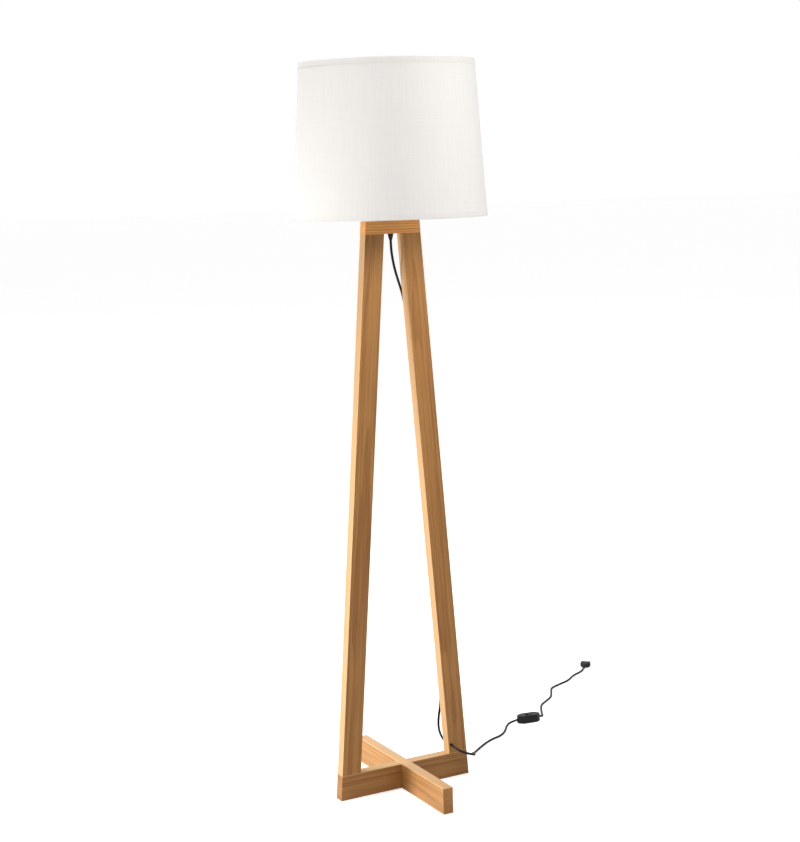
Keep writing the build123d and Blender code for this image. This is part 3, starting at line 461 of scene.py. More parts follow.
slub = maths(weave, "MULTIPLY_ADD", cross_slub, 0.4, maths(weave, "MULTIPLY", long_slub, 0.6))
slub_tone = maths(weave, "MULTIPLY", ramp(weave, slub, 0.3, 0.72), thread["Slub"])
# Painted shade: the hollows between the threads are darkened.
painted_thread_shade = maths(weave, "MULTIPLY", maths(weave, "SUBTRACT", 1.0, lift), 0.35)
cloth_tone = maths(weave, "ADD", slub_tone, painted_thread_shade)
cloth_tone = add_node(weave, "ShaderNodeClamp", {"Value": cloth_tone}).outputs[0]
weave.links.new(blend(weave, cloth_tone, thread["Light"], thread["Dark"]), weave_out.inputs["Color"])
weave.links.new(ramp(weave, slub, 0.0, 1.0, 0.95, 0.8), weave_out.inputs["Roughness"])
weave.links.new(maths(weave, "MULTIPLY_ADD", slub, 0.5, lift), weave_out.inputs["Height"])

felt, tree, shader = new_material("wool_felt", {"Specular IOR Level": 0.1, "Sheen Weight": 0.4})
felt_values = {"Vector": object_place(tree), "Pitch": 0.0006, "Light": (0.11, 0.095, 0.085, 1),
               "Dark": (0.05, 0.045, 0.04, 1), "Slub": 0.9}
dress(tree, shader, weave, felt_values, 0.0002)
paint(felt, "felt_pads")

# ------------------------------------------------------------------ tube, washer, nut
# The lampholder's hollow M10 tube runs up through the block. It is threaded all the way and is
# clamped by a zinc-plated washer and a thin hexagon nut on top of the block.


def axis_distance(point):
    """Distance of a point from the lamp's axis."""
    return math.hypot(point[0], point[1])


def rim_radius(node, height, reach=0.0015):
    """Largest radius of a CAD node about the lamp's axis near a height."""
    return max(axis_distance(v.co) for v in nodes[node].data.vertices if abs(v.co.z - height) < reach)


def soften(outline, radius, steps=3):
    """Round the corners of a closed outline of (radius, height) points."""
    rounded = []
    for before, here, after in zip(outline[-1:] + outline[:-1], outline, outline[1:] + outline[:1]):
        before, here, after = Vector(before), Vector(here), Vector(after)
        if here.x < 1e-6:
            rounded.append(tuple(here))
            continue
        start = here + (before - here).normalized() * min(radius, 0.4 * (before - here).length)
        end = here + (after - here).normalized() * min(radius, 0.4 * (after - here).length)
        for i in range(steps + 1):
            t = i / steps
            rounded.append(tuple(start * (1 - t) ** 2 + here * 2 * t * (1 - t) + end * t ** 2))
    return rounded


def finish_mesh(name, bm, material, crease=38.0):
    """Turn a bmesh into an object with outward faces, smooth but for its sharp edges."""
    bmesh.ops.remove_doubles(bm, verts=bm.verts, dist=1e-7)
    bmesh.ops.recalc_face_normals(bm, faces=bm.faces)
    mesh = bpy.data.meshes.new(name)
    bm.to_mesh(mesh)
    bm.free()
    mesh.shade_smooth()
    mesh.set_sharp_from_angle(angle=math.radians(crease))
    mesh.materials.append(material)
    piece = bpy.data.objects.new(name, mesh)
    scene.collection.objects.link(piece)
    return piece


def lathe(name, outline, material, steps=96, ripple=None, crease=38.0):
    """Turn a closed (radius, height) outline about the lamp's axis; ripple adds to the radius."""
    bm = bmesh.new()
    rings = []
    for radius, height in outline:
        if radius < 1e-6:
            rings.append([bm.verts.new((0.0, 0.0, height))])
            continue
        ring = []
        for i in range(steps):
            angle = 2 * math.pi * i / steps
            reach = radius + (ripple(angle, radius, height) if ripple else 0.0)
            ring.append(bm.verts.new((reach * math.cos(angle), reach * math.sin(angle), height)))
        rings.append(ring)
    for lower, upper in zip(rings, rings[1:] + rings[:1]):
        if len(lower) == 1 and len(upper) == 1:
            continue
        for i in range(steps):
            foot = [lower[i % len(lower)], lower[(i + 1) % len(lower)]]
            head = [upper[(i + 1) % len(upper)], upper[i % len(upper)]]
            bm.faces.new(list(dict.fromkeys(foot + head)))
    return finish_mesh(name, bm, material, crease)


def screw_thread(pitch, depth, low, high, inner):
    """Ripple of a rounded screw thread beyond an inner radius, fading out at both heights."""
    def ripple(angle, radius, height):
        if not low < height < high or radius < inner:
            return 0.0
        fade = min(1.0, (height - low) / pitch, (high - height) / pitch)
        return depth * fade * (0.5 * math.cos(2 * math.pi * height / pitch - angle) - 0.5)
    return ripple


def levels(low, high, step):
    """Heights from low to high about a step apart, both ends left out."""
    count = max(2, round((high - low) / step))
    return [low + (high - low) * i / count for i in range(1, count)]


tube_low, tube_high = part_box("threaded_tube")
tube_outer = tube_high.x
tube_bore = 0.0038
tube_pitch, tube_cut = 0.001, 0.0006
tube_outline = [(tube_bore, tube_low.z), (tube_outer, tube_low.z)]
tube_outline += [(tube_outer, z) for z in levels(tube_low.z, tube_high.z, tube_pitch / 6)]
tube_outline += [(tube_outer, tube_high.z), (tube_bore, tube_high.z)]
tube_thread = screw_thread(tube_pitch, tube_cut, tube_low.z, tube_high.z, tube_outer * 0.95)
tube_piece = lathe("threaded_tube_cut", tube_outline, zinc, 48, tube_thread, 60.0)
show(tube_piece, "frame", "zinc_steel", "threaded_tube")


sharp_edge = math.radians(30)


def softened(node, name, material, width, segments=2):
    """Copy of a CAD node with its sharp edges rounded over."""
    bm = bmesh.new()
    bm.from_mesh(nodes[node].data)
    bmesh.ops.remove_doubles(bm, verts=bm.verts, dist=1e-6)
    bmesh.ops.dissolve_limit(bm, angle_limit=math.radians(1.0), verts=bm.verts, edges=bm.edges)
    shared = [edge for edge in bm.edges if len(edge.link_faces) == 2]
    sharp = [edge for edge in shared if edge.calc_face_angle(0.0) > sharp_edge]
    bmesh.ops.bevel(bm, geom=sharp, offset=width, segments=segments, profile=0.5, affect="EDGES",
                    clamp_overlap=True)
    bmesh.ops.triangulate(bm, faces=[f for f in bm.faces if len(f.verts) > 4])
    return finish_mesh(name, bm, material)


show(softened("tube_nut", "hexagon_nut", zinc, 0.0005, 3), "frame", "zinc_steel", "tube_nut")
show(softened("tube_washer", "flat_washer", zinc, 0.0003), "frame", "zinc_steel", "tube_washer")

# ------------------------------------------------------------------ cord grip
# The screw-in cord grip under the block: a dark brown moulded taper with a knurled collar and
# ring grooves near its tip, closed on the lead's sheath.

brown_plastic = plastic("dark_brown_moulding", (0.035, 0.022, 0.018), (0.075, 0.05, 0.04), 0.42)
grip_low, grip_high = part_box("cord_grip")
block_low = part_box("top_block")[0].z
grip_collar, grip_tip, grip_bore = grip_high.x, 0.0037, lead_diameter / 2 + 0.00015
grip_height = block_low - grip_low.z
grip_outline = [(grip_bore, grip_low.z), (grip_tip, grip_low.z)]
groove_count, groove_depth, groove_pitch = 4, 0.0004, 0.14      # the pitch is a share of the height
collar_height = 0.003
knurl_lobes, knurl_depth = 14, 0.00025
for i in range(groove_count):
    for share, sink in ((0.1, 0.0), (0.25, groove_depth), (0.5, groove_depth), (0.65, 0.0)):
        along = (i + share) * groove_pitch
        taper = grip_tip + (grip_collar - grip_tip) * along * 1.1
        grip_outline.append((taper - sink, grip_low.z + grip_height * along))
grip_outline += [(grip_collar - 0.0003, block_low - collar_height - 0.0005)]
grip_outline += [(grip_collar, block_low - collar_height), (grip_collar, block_low)]
grip_outline += [(grip_tip, block_low), (grip_tip, grip_high.z), (grip_bore, grip_high.z)]


def collar_knurl(angle, radius, height):
    """Fine upright ribs on the collar."""
    return -knurl_depth * abs(math.sin(knurl_lobes * angle)) if radius > grip_collar * 0.97 else 0.0


show(lathe("cord_grip_moulding", soften(grip_outline, 0.0003, 2), brown_plastic, 112, collar_knurl),
     "frame", "grip_plastic", "cord_grip")
core_plastic = plastic("core_insulation", (0.16, 0.075, 0.03), (0.2, 0.1, 0.05), 0.4)
paint(core_plastic, "core_wires")

# ------------------------------------------------------------------ lampholder
# Screw lampholder in black thermoplastic: a domed cap with grip ribs, a body with the coarse
# outside thread and flange that carry the shade, and inside it a ceramic base, brass screw shell,
# centre contact and two terminal screws.

holder_plastic = plastic("holder_thermoplastic", (0.018, 0.018, 0.019), (0.045, 0.045, 0.046), 0.34)
cap_low, cap_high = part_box("holder_cap")
body_low, body_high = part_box("holder_body")
holder_outer = rim_radius("holder_body", body_high.z - 0.004, 0.006)
holder_wall = 0.0019
holder_inner = holder_outer - holder_wall
cap_hub = 0.011
cap_outline = [
    (tube_outer, cap_low.z), (cap_hub, cap_low.z), (cap_hub + 0.001, cap_low.z + 0.0025),
    (holder_outer - 0.0025, cap_low.z + 0.0085), (holder_outer, cap_low.z + 0.011),
    (holder_outer, cap_high.z - 0.0006), (holder_outer - 0.0005, cap_high.z),
    (holder_inner, cap_high.z), (holder_inner, cap_low.z + 0.012),
    (cap_hub, cap_low.z + 0.006), (tube_outer, cap_low.z + 0.006),
]
show(lathe("holder_cap_moulding", soften(cap_outline, 0.0012, 4), holder_plastic, 96),
     "frame", "holder_plastic", "holder_cap")

flange_top = body_low.z + 0.008
flange_radius, flange_thickness = body_high.x, 0.002
holder_pitch, holder_cut = 0.003, 0.0009
body_outline = [
    (holder_inner, body_low.z), (holder_outer, body_low.z), (holder_outer, flange_top - flange_thickness),
    (flange_radius, flange_top - flange_thickness), (flange_radius, flange_top), (holder_outer, flange_top),
]
body_outline = soften(body_outline, 0.0003, 2)[:-3] + [(holder_outer, flange_top)]
body_outline += [(holder_outer, z) for z in levels(flange_top, body_high.z - 0.001, 0.0004)]
body_outline += [
    (holder_outer - 0.0002, body_high.z - 0.0004), (holder_outer - 0.001, body_high.z),
    (holder_inner - 0.0024, body_high.z), (holder_inner - 0.0026, body_high.z - 0.001),
    (holder_inner - 0.0024, body_high.z - 0.002), (holder_inner, body_high.z - 0.004),
]
thread_low, thread_high = flange_top + 0.0005, body_high.z - 0.002
holder_thread = screw_thread(holder_pitch, holder_cut, thread_low, thread_high, holder_outer * 0.99)
show(lathe("holder_body_moulding", body_outline, holder_plastic, 128, holder_thread, 50.0),
     "frame", "holder_plastic", "holder_body")

ceramic = plastic("glazed_ceramic", (0.72, 0.7, 0.64), (0.62, 0.6, 0.55), 0.12, 500.0)
paint(ceramic, "holder_insulator")
brass = metal_finish("brass_strip", (0.78, 0.57, 0.24), (0.55, 0.38, 0.15), 0.2)
paint(brass, "centre_contact", "terminal_screws", "switch_terminals")

shell_low, shell_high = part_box("holder_sleeve")
shell_outer, shell_wall, shell_hole = shell_high.x, 0.0007, 0.008
shell_pitch, shell_cut = 0.0036, 0.0005
shell_side = levels(shell_low.z + 0.001, shell_high.z, shell_pitch / 12)
shell_outline = [(shell_hole, shell_low.z), (shell_outer, shell_low.z)]
shell_outline += [(shell_outer, z) for z in shell_side]
shell_outline += [(shell_outer, shell_high.z), (shell_outer - shell_wall, shell_high.z)]
shell_outline += [(shell_outer - shell_wall, z) for z in reversed(shell_side)]
shell_floor = shell_low.z + shell_wall
shell_outline += [(shell_outer - shell_wall, shell_floor), (shell_hole, shell_floor)]
thread_low, thread_high = shell_low.z + 0.001, shell_high.z - 0.001
shell_thread = screw_thread(shell_pitch, shell_cut, thread_low, thread_high, shell_outer * 0.9)
shell_piece = lathe("brass_screw_shell", shell_outline, brass, 72, shell_thread, 60.0)
show(shell_piece, "frame", "brass", "holder_sleeve")

# ------------------------------------------------------------------ bulb
# Opal globe bulb: a blown glass envelope drawn in to a neck, in a rolled aluminium screw cap with
# a black insulating base and a soldered centre contact.

glass_low, glass_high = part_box("bulb_glass")
globe_radius = glass_high.x
globe_middle = glass_high.z - globe_radius
neck_radius = rim_radius("bulb_glass", glass_low.z)
neck_top = glass_low.z + 0.008
blend_angle = math.radians(40)
neck_steps, globe_steps = 12, 24


def envelope(inset):
    """Profile of the glass from its foot to its crown, a given depth inside its outer face."""
    neck, radius = neck_radius - inset, globe_radius - inset
    join = Vector((radius * math.cos(blend_angle), globe_middle - radius * math.sin(blend_angle)))
    foot = Vector((neck, neck_top))
    swell = 0.42 * (join - foot).length
    tangent = Vector((math.sin(blend_angle), math.cos(blend_angle)))
    handles = [foot, foot + Vector((0, swell)), join - swell * tangent, join]
    base = glass_low.z + inset
    points = [(0.0, base), (neck - 0.0008, base), (neck, base + 0.0008)]
    for i in range(neck_steps + 1):
        t = i / neck_steps
        spot = (handles[0] * (1 - t) ** 3 + handles[1] * 3 * t * (1 - t) ** 2
                + handles[2] * 3 * t * t * (1 - t) + handles[3] * t ** 3)
        points.append(tuple(spot))
    for i in range(1, globe_steps):
        angle = -blend_angle + (math.pi / 2 + blend_angle) * i / globe_steps
        points.append((radius * math.cos(angle), globe_middle + radius * math.sin(angle)))
    return points + [(0.0, globe_middle + radius)]


opal, tree, shader = new_material(
    "opal_glass", {"Specular IOR Level": 0.5, "Coat Weight": 0.4, "Coat Roughness": 0.05}
)
opal_values = {"Vector": object_place(tree), "Base": (0.86, 0.86, 0.83, 1), "Rubbed": (0.8, 0.8, 0.77, 1),
               "Gloss": 0.16, "Grain Scale": 300.0}
dress(tree, shader, moulded, opal_values, 0.00001)
show(lathe("opal_envelope", envelope(0.0), opal, 96), "bulb", "opal_glass", "bulb_glass")

cap_metal = metal_finish("rolled_aluminium", (0.78, 0.78, 0.78), (0.6, 0.6, 0.6), 0.24)
bulb_cap_low, bulb_cap_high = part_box("bulb_cap")
bulb_cap_outer, bulb_cap_wall = bulb_cap_high.x, 0.0005
bulb_pitch, bulb_cut = 0.0036, 0.0009
cap_side = levels(bulb_cap_low.z, bulb_cap_high.z - 0.0005, bulb_pitch / 12)
bulb_cap_inner = bulb_cap_outer - bulb_cap_wall
bulb_cap_outline = [(bulb_cap_inner, bulb_cap_low.z), (bulb_cap_outer - 0.0001, bulb_cap_low.z)]
bulb_cap_outline += [(bulb_cap_outer, z) for z in cap_side]
bulb_cap_outline += [(bulb_cap_outer, bulb_cap_high.z), (bulb_cap_inner, bulb_cap_high.z)]
thread_low, thread_high = bulb_cap_low.z, bulb_cap_high.z - 0.003
bulb_thread = screw_thread(bulb_pitch, bulb_cut, thread_low, thread_high, bulb_cap_outer * 0.985)
bulb_cap_piece = lathe("rolled_screw_cap", bulb_cap_outline, cap_metal, 96, bulb_thread, 60.0)
show(bulb_cap_piece, "bulb", "bulb_metal", "bulb_cap")
bulb_base = softened("bulb_contact", "bulb_base_moulding", holder_plastic, 0.0004)
show(bulb_base, "bulb", "holder_plastic", "bulb_contact")

# ------------------------------------------------------------------ shade
# Tapered drum shade: fine off-white cloth laminated to a white film and joined in an overlap seam
# at the rear. Both edges are bound in self cloth turned in over a coated wire ring.

fabric_low, fabric_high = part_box("shade_fabric")
foot_radius, head_radius = fabric_high.x, rim_radius("shade_fabric", fabric_high.z)
shade_run = (foot_radius - head_radius) / (fabric_high.z - fabric_low.z)
shade_steps = 288
seam_angle = math.radians(61)
seam_width = 0.012
seam_step = 0.0004
cloth_wall = 0.0005


def cone_radius(height, depth=0.0):
    """Radius of the shade's outer face at a height, less a depth."""
    return foot_radius - shade_run * (height - fabric_low.z) - depth


def cloth_map(piece):
    """Map a turned cloth piece in metres: u round the shade, v up its slope."""
    mesh = piece.data
    mapped = mesh.uv_layers.new(name="cloth")
    middle_radius = (foot_radius + head_radius) / 2
    for face in mesh.polygons:
        corners = [mesh.vertices[mesh.loops[loop].vertex_index].co for loop in face.loop_indices]
        angles = [math.atan2(corner.y, corner.x) for corner in corners]
        wraps = max(angles) - min(angles) > math.pi
        for loop, corner, angle in zip(face.loop_indices, corners, angles):
            if wraps and angle < 0:
                angle += 2 * math.pi
            mapped.data[loop].uv = (angle * middle_radius, corner.z - axis_distance(corner))
    return piece


def cloth(name, light, dark, pitch, slub, depth):
    """Plain-woven cloth on the piece's own map."""
    material, tree, shader = new_material(
        name, {"Specular IOR Level": 0.15, "Sheen Weight": 0.15, "Sheen Roughness": 0.5}
    )
    place = add_node(tree, "ShaderNodeUVMap", uv_map="cloth").outputs[0]
    values = {"Vector": place, "Light": (*light, 1), "Dark": (*dark, 1), "Pitch": pitch, "Slub": slub}
    dress(tree, shader, weave, values, depth, 0.6)
    return material


shade_cloth = cloth("off_white_cloth", (0.75, 0.725, 0.70), (0.63, 0.605, 0.58), 0.0007, 0.35, 0.00012)
hem_cloth = cloth("off_white_hem_cloth", (0.73, 0.705, 0.68), (0.62, 0.595, 0.57), 0.0007, 0.4, 0.00012)


def pull(angle, radius, height):
    """The cloth's slight unevenness between its rings, and the step of the overlap seam."""
    share = (height - fabric_low.z) / (fabric_high.z - fabric_low.z)
    drift = 0.00025 * math.sin(math.pi * share) * (math.sin(5 * angle + 0.7) + 0.6 * math.sin(11 * angle))
    away = abs((angle - seam_angle + math.pi) % (2 * math.pi) - math.pi) * foot_radius
    return drift + seam_step * (1 - min(1.0, max(0.0, (away - seam_width / 2) / (2 * seam_step))))


rows = levels(fabric_low.z, fabric_high.z, 0.012)
edge_rows = [fabric_low.z, *rows, fabric_high.z]
skin_outline = [(cone_radius(z), z) for z in edge_rows]
skin_outline += [(cone_radius(z, cloth_wall), z) for z in reversed(edge_rows)]
shade_skin = cloth_map(lathe("shade_cover", skin_outline, shade_cloth, shade_steps, pull, 50.0))
show(shade_skin, "shade", "shade_cloth", "shade_fabric")

film, tree, shader = new_material("white_film", {"Specular IOR Level": 0.35})
film_values = {"Vector": object_place(tree), "Base": (0.86, 0.86, 0.84, 1), "Rubbed": (0.8, 0.8, 0.77, 1),
               "Gloss": 0.5, "Grain Scale": 900.0, "Patch Scale": 8.0}
dress(tree, shader, moulded, film_values, 0.00002)
liner_wall = 0.001
liner_outline = [(cone_radius(z, cloth_wall), z) for z in edge_rows]
liner_outline += [(cone_radius(z, cloth_wall + liner_wall), z) for z in reversed(edge_rows)]
film_piece = lathe("shade_film", liner_outline, film, shade_steps, None, 50.0)
show(film_piece, "shade", "shade_film", "shade_liner")

wire_radius = 0.0014
wire_depth = cloth_wall + liner_wall + 0.00005 + wire_radius
hem_wall = 0.0005
hem_depth = cloth_wall + liner_wall + 2 * wire_radius + 0.0001
hem_turned = 0.007
hem_bands = (("shade_hem_top", fabric_high.z, -1, 0.012), ("shade_hem_bottom", fabric_low.z, 1, 0.010))
for node, edge, inward, band in hem_bands:
    lip = edge - inward * hem_wall * 0.7
    turned_to = edge + inward * hem_turned
    fold = [(hem_wall, edge + inward * band), (hem_wall * 0.9, edge + inward * 0.0015), (0.0, lip)]
    fold += [(-hem_depth / 2, edge - inward * hem_wall), (-hem_depth, lip)]
    fold += [(-hem_depth - hem_wall, edge + inward * 0.001), (-hem_depth - hem_wall, turned_to)]
    back = [(-hem_depth, turned_to), (-hem_depth, edge + inward * 0.0008), (-hem_depth / 2, edge)]
    back += [(0.0, edge), (0.0, edge + inward * band)]
    outline = [(cone_radius(z) + out, z) for out, z in fold + back]
    hem = lathe(node + "_binding", soften(outline, 0.0004, 2), hem_cloth, shade_steps, None, 50.0)
    show(cloth_map(hem), "shade", "shade_cloth", node)

white_coat = plastic("white_powder_coat", (0.78, 0.77, 0.74), (0.7, 0.69, 0.66), 0.38, 1400.0, 0.00005)
wire_sides = 12
for node, height, name in (
    ("shade_top_wire", fabric_high.z - wire_radius, "top_ring_wire"),
    ("shade_bottom_wire", fabric_low.z + wire_radius, "bottom_ring_wire"),
):
    middle = cone_radius(height, wire_depth)
    turns = [2 * math.pi * i / wire_sides for i in range(wire_sides)]
    section = [(middle + wire_radius * math.cos(a), height + wire_radius * math.sin(a)) for a in turns]
    show(lathe(name, section, white_coat, shade_steps), "shade", "white_wire", node)
paint(white_coat, "shade_spider")

# ------------------------------------------------------------------ shade ring
# The ring that screws down on the fitter's hub: black thermoplastic, a flange under a neck with
# upright finger ribs all round.

ring_low, ring_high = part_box("shade_ring")
ring_flange = ring_high.x
ring_neck = ring_flange - 0.0025
ring_bore = min(axis_distance(v.co) for v in nodes["shade_ring"].data.vertices)
ring_outline = [
    (ring_bore, ring_low.z), (ring_flange, ring_low.z), (ring_flange, ring_low.z + 0.002),
    (ring_neck - 0.0006, ring_low.z + 0.0028), (ring_neck - 0.0006, ring_high.z), (ring_bore, ring_high.z),
]
show(lathe("shade_ring_moulding", soften(ring_outline, 0.0004, 3), holder_plastic, 128),
     "shade_ring", "holder_plastic", "shade_ring")


def geometry_tree(name, inputs):
    """Geometry Nodes tree with named inputs and a mesh output, as (tree, inputs, output)."""
    tree = bpy.data.node_groups.new(name, "GeometryNodeTree")
    tree.interface.new_socket("Geometry", in_out="OUTPUT", socket_type="NodeSocketGeometry")
    for label, kind in inputs.items():
        tree.interface.new_socket(label, in_out="INPUT", socket_type=kind)
    start, end = tree.nodes.new("NodeGroupInput"), tree.nodes.new("NodeGroupOutput")
    return tree, start.outputs, end.inputs["Geometry"]


def rib_shape(tree, sockets):
    """One upright rib of eight sides, its size in the Rib Size input."""
    bar = add_node(tree, "GeometryNodeMeshCylinder", {"Vertices": 8, "Radius": 1.0, "Depth": 1.0})
    sized = {"Geometry": bar.outputs["Mesh"], "Scale": sockets["Rib Size"]}
    return add_node(tree, "GeometryNodeTransform", sized).outputs[0]


def realised(tree, sockets, output, placed):
    """Make a tree's instances real, flat-sided and in their material."""
    real = add_node(tree, "GeometryNodeRealizeInstances", {"Geometry": placed})
    facets = {"Geometry": real.outputs[0], "Shade Smooth": False}
    flat = add_node(tree, "GeometryNodeSetShadeSmooth", facets)
    finish = {"Geometry": flat.outputs[0], "Material": sockets["Material"]}
    tree.links.new(add_node(tree, "GeometryNodeSetMaterial", finish).outputs[0], output)


round_ribs, ribs_in, ribs_out = geometry_tree("ribs_round_a_ring", {
    "Count": "NodeSocketInt", "Radius": "NodeSocketFloat", "Height": "NodeSocketFloat",
    "Rib Size": "NodeSocketVector", "Material": "NodeSocketMaterial"})
circle = add_node(round_ribs, "GeometryNodeMeshCircle", {
    "Vertices": ribs_in["Count"], "Radius": ribs_in["Radius"]})
outward = {"Vector": add_node(round_ribs, "GeometryNodeInputPosition").outputs[0]}
facing = add_node(round_ribs, "FunctionNodeAlignRotationToVector", outward, axis="X", pivot_axis="Z")
ring_of_ribs = add_node(round_ribs, "GeometryNodeInstanceOnPoints", {
    "Points": circle.outputs["Mesh"], "Instance": rib_shape(round_ribs, ribs_in),
    "Rotation": facing.outputs[0]})
raised = add_node(round_ribs, "ShaderNodeCombineXYZ", {"Z": ribs_in["Height"]})
lifted = add_node(round_ribs, "GeometryNodeTransform", {
    "Geometry": ring_of_ribs.outputs[0], "Translation": raised.outputs[0]})
realised(round_ribs, ribs_in, ribs_out, lifted.outputs[0])


def grown(name, tree, values):
    """Plain mesh of what a Geometry Nodes tree makes with these inputs."""
    piece = bpy.data.objects.new(name, bpy.data.meshes.new(name))
    scene.collection.objects.link(piece)
    modifier = piece.modifiers.new("ribs", "NODES")
    modifier.node_group = tree
    for socket in tree.interface.items_tree:
        if socket.in_out == "INPUT" and socket.name in values:
            modifier[socket.identifier] = values[socket.name]
    piece.update_tag()
    made = bpy.data.meshes.new_from_object(piece.evaluated_get(bpy.context.evaluated_depsgraph_get()))
    piece.modifiers.remove(modifier)
    piece.data = made
    return piece


neck_height = ring_high.z - ring_low.z - 0.0032
ring_rib_count, cap_rib_count = 40, 32
ring_ribs = grown("shade_ring_ribs", round_ribs, {
    "Count": ring_rib_count, "Radius": ring_neck - 0.0007, "Height": ring_high.z - neck_height / 2 - 0.0004,
    "Rib Size": (0.0007, 0.0007, neck_height - 0.0008), "Material": holder_plastic})
show(ring_ribs, "shade_ring", "holder_plastic")
cap_ribs = grown("holder_cap_ribs", round_ribs, {
    "Count": cap_rib_count, "Radius": holder_outer - 0.0002, "Height": cap_high.z - 0.0036,
    "Rib Size": (0.0006, 0.0008, 0.0046), "Material": holder_plastic})
show(cap_ribs, "frame", "holder_plastic")

# ------------------------------------------------------------------ cord clips
# Three black moulded saddle clips that hold the lead behind the right leg. Each is fixed with one
# zinc-plated steel nail.

clip_plastic = plastic("clip_moulding", (0.02, 0.02, 0.02), (0.05, 0.05, 0.05), 0.38)
show(softened("cord_clips", "saddle_clips", clip_plastic, 0.0004, 2), "frame", "clip_plastic", "cord_clips")

# ------------------------------------------------------------------ in-line switch
# Two-part black in-line switch clamped on the lead, with a rocker on a steel pin, thumb ribs
# beside the rocker and two screws from below.

switch_plastic = plastic("switch_moulding", (0.005, 0.005, 0.005), (0.012, 0.012, 0.012), 0.34, 3200.0)
switch_low, switch_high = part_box("switch_base")[0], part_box("switch_cover")[1]
switch_middle = (switch_low + switch_high) / 2
switch_middle.z = switch_low.z
switch_heading = math.radians(-8.0)
switch_frame = Matrix.Translation(switch_middle) @ Matrix.Rotation(switch_heading, 4, "Z")
for node, name, body, rounding, segments in (
    ("switch_base", "switch_lower_shell", "frame", 0.0003, 2),
    ("switch_cover", "switch_upper_shell", "frame", 0.0003, 2),
    ("switch_rocker", "switch_rocker_key", "rocker", 0.0005, 3),
):
    show(softened(node, name, switch_plastic, rounding, segments), body, "switch_plastic", node)

row_ribs, row_in, row_out = geometry_tree("ribs_in_a_row", {
    "Count": "NodeSocketInt", "Start": "NodeSocketVector", "Step": "NodeSocketVector",
    "Rib Size": "NodeSocketVector", "Material": "NodeSocketMaterial"})
line = add_node(row_ribs, "GeometryNodeMeshLine", {
    "Count": row_in["Count"], "Start Location": row_in["Start"], "Offset": row_in["Step"]})
row_of_ribs = add_node(row_ribs, "GeometryNodeInstanceOnPoints", {
    "Points": line.outputs["Mesh"], "Instance": rib_shape(row_ribs, row_in)})
realised(row_ribs, row_in, row_out, row_of_ribs.outputs[0])


def row(name, count, start, step, size, frame_of, material):
    """Ribs in a straight row, in the frame of the piece they stand on."""
    piece = grown(name, row_ribs, {"Count": count, "Start": start, "Step": step, "Rib Size": size,
                                   "Material": material})
    piece.data.transform(frame_of)
    return piece


switch_height = switch_high.z - switch_low.z
switch_half = 0.012
thumb_count, thumb_step = 9, 0.0024
thumb_rib = (0.0005, 0.0004, switch_height * 0.3)
for side, word in ((-1, "near"), (1, "far")):
    first = (-thumb_step * (thumb_count - 1) / 2, side * switch_half, switch_height * 0.72)
    ribs = row(f"switch_thumb_ribs_{word}", thumb_count, first, (thumb_step, 0, 0), thumb_rib,
               switch_frame, switch_plastic)
    show(ribs, "frame", "switch_plastic")

# ------------------------------------------------------------------ plug
# Flat two-pin plug moulded on to the lead: a ribbed strain relief that tapers into a body with
# hollowed finger grips, and two round pins with insulated roots.

plug_entry = Vector(plug_route[-1])
plug_heading = math.radians(47.0)
plug_frame = Matrix.Translation(plug_entry) @ Matrix.Rotation(plug_heading, 4, "Z")
plug_points = [plug_frame.inverted() @ v.co for v in nodes["plug_body"].data.vertices]
plug_end = max(p.x for p in plug_points)
plug_half = max(p.y for p in plug_points)
plug_rise = max(p.z for p in plug_points)
relief_end = plug_end - 0.024
relief_root, relief_tip = 0.0046, 0.0038
relief_groove = 0.0009
section_steps = 56


def section_ring(bm, along, half_width, half_height, power):
    """Ring of vertices on a rounded rectangle across the plug's length."""
    ring = []
    for i in range(section_steps):
        angle = 2 * math.pi * i / section_steps
        c, s = math.cos(angle), math.sin(angle)
        y = math.copysign(abs(c) ** (2 / power), c) * half_width
        z = math.copysign(abs(s) ** (2 / power), s) * half_height
        ring.append(bm.verts.new(plug_frame @ Vector((along, y, z))))
    return ring


def lofted(name, sections, material):
    """Closed skin through rounded sections given as (along, half width, half height, squareness)."""
    bm = bmesh.new()
    rings = [section_ring(bm, *section) for section in sections]
    for first, second in zip(rings, rings[1:]):
        for i in range(section_steps):
            following = (i + 1) % section_steps
            bm.faces.new((first[i], first[following], second[following], second[i]))
    bm.faces.new(rings[0])
    bm.faces.new(rings[-1])
    return finish_mesh(name, bm, material)


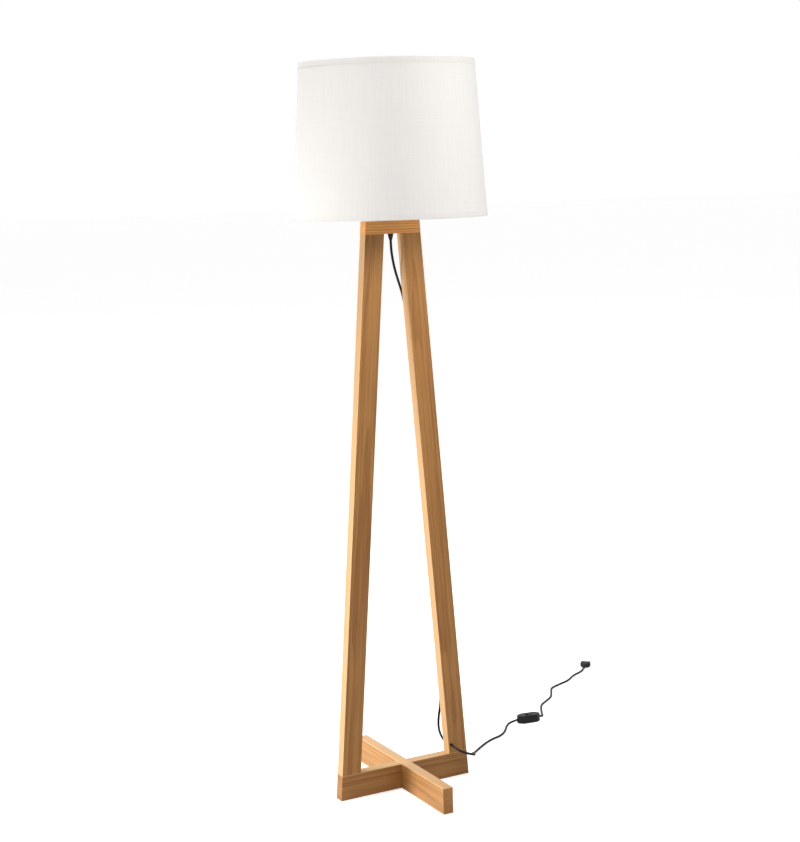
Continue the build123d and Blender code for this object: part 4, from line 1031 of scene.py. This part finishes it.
relief_mouth, relief_lip = lead_diameter / 2 + 0.0002, relief_tip - 0.0002
relief_sections = [(0.0, relief_mouth, relief_mouth, 2.0), (0.0004, relief_lip, relief_lip, 2.0)]
relief_rings = 6
ring_step = (relief_end - 0.0012) / relief_rings
for i in range(relief_rings):
    start = 0.0008 + i * ring_step
    size = relief_tip + (relief_root - relief_tip) * i / (relief_rings - 1)
    for share, sink in ((0.0, 0.0), (0.52, 0.0), (0.6, relief_groove), (0.92, relief_groove)):
        relief_sections.append((start + share * ring_step, size - sink, size - sink, 2.0))
body_sections = [
    (relief_end - 0.0004, relief_root, relief_root, 2.0),
    (relief_end + 0.0008, 0.0052, 0.0052, 2.3),
    (relief_end + 0.004, 0.0078, 0.0061, 2.8),
    (relief_end + 0.008, plug_half - 0.0022, plug_rise - 0.0003, 3.4),
    (relief_end + 0.011, plug_half - 0.0006, plug_rise, 4.0),
    (relief_end + 0.013, plug_half - 0.0001, plug_rise, 4.5),
    (relief_end + 0.0145, plug_half - 0.0008, plug_rise - 0.0002, 4.5),
    (relief_end + 0.0165, plug_half - 0.0014, plug_rise - 0.0004, 4.5),
    (relief_end + 0.0185, plug_half - 0.0008, plug_rise - 0.0002, 4.5),
    (relief_end + 0.0205, plug_half, plug_rise, 5.0),
    (plug_end - 0.0016, plug_half, plug_rise, 5.0),
    (plug_end - 0.0005, plug_half - 0.0004, plug_rise - 0.0004, 5.0),
    (plug_end, plug_half - 0.0014, plug_rise - 0.0014, 4.5),
]
plug_moulding = show(lofted("plug_moulding", relief_sections + body_sections, switch_plastic),
                     "frame", "switch_plastic", "plug_body")
finger_count, finger_step = 5, 0.0014
finger_rib = (0.0004, 0.0005, plug_rise * 1.1)
for side, word in ((-1, "right"), (1, "left")):
    first = (relief_end + 0.0137, side * (plug_half - 0.0011), 0.0)
    ribs = row(f"plug_finger_ribs_{word}", finger_count, first, (finger_step, 0, 0), finger_rib,
               plug_frame, switch_plastic)
    show(ribs, "frame", "switch_plastic")

pin_metal, tree, shader = new_material("pin_nickel_and_sleeve", {})
mapping = {"Vector": object_place(tree), "Location": plug_entry, "Rotation": (0, 0, plug_heading)}
pin_place = add_node(tree, "ShaderNodeMapping", mapping, vector_type="TEXTURE")
pin_along = add_node(tree, "ShaderNodeSeparateXYZ", {0: pin_place.outputs[0]}).outputs[0]
sleeve_end = plug_end + 0.01
bare = ramp(tree, pin_along, sleeve_end - 0.0001, sleeve_end + 0.0001)
pin_skin = add_node(tree, "ShaderNodeGroup", node_tree=metal)
tree.links.new(object_place(tree), pin_skin.inputs["Vector"])
pin_colour = blend(tree, bare, (0.015, 0.015, 0.016, 1), pin_skin.outputs["Color"])
tree.links.new(pin_colour, shader.inputs["Base Color"])
tree.links.new(bare, shader.inputs["Metallic"])
tree.links.new(pin_skin.outputs["Roughness"], shader.inputs["Roughness"])
paint(pin_metal, "plug_pins")
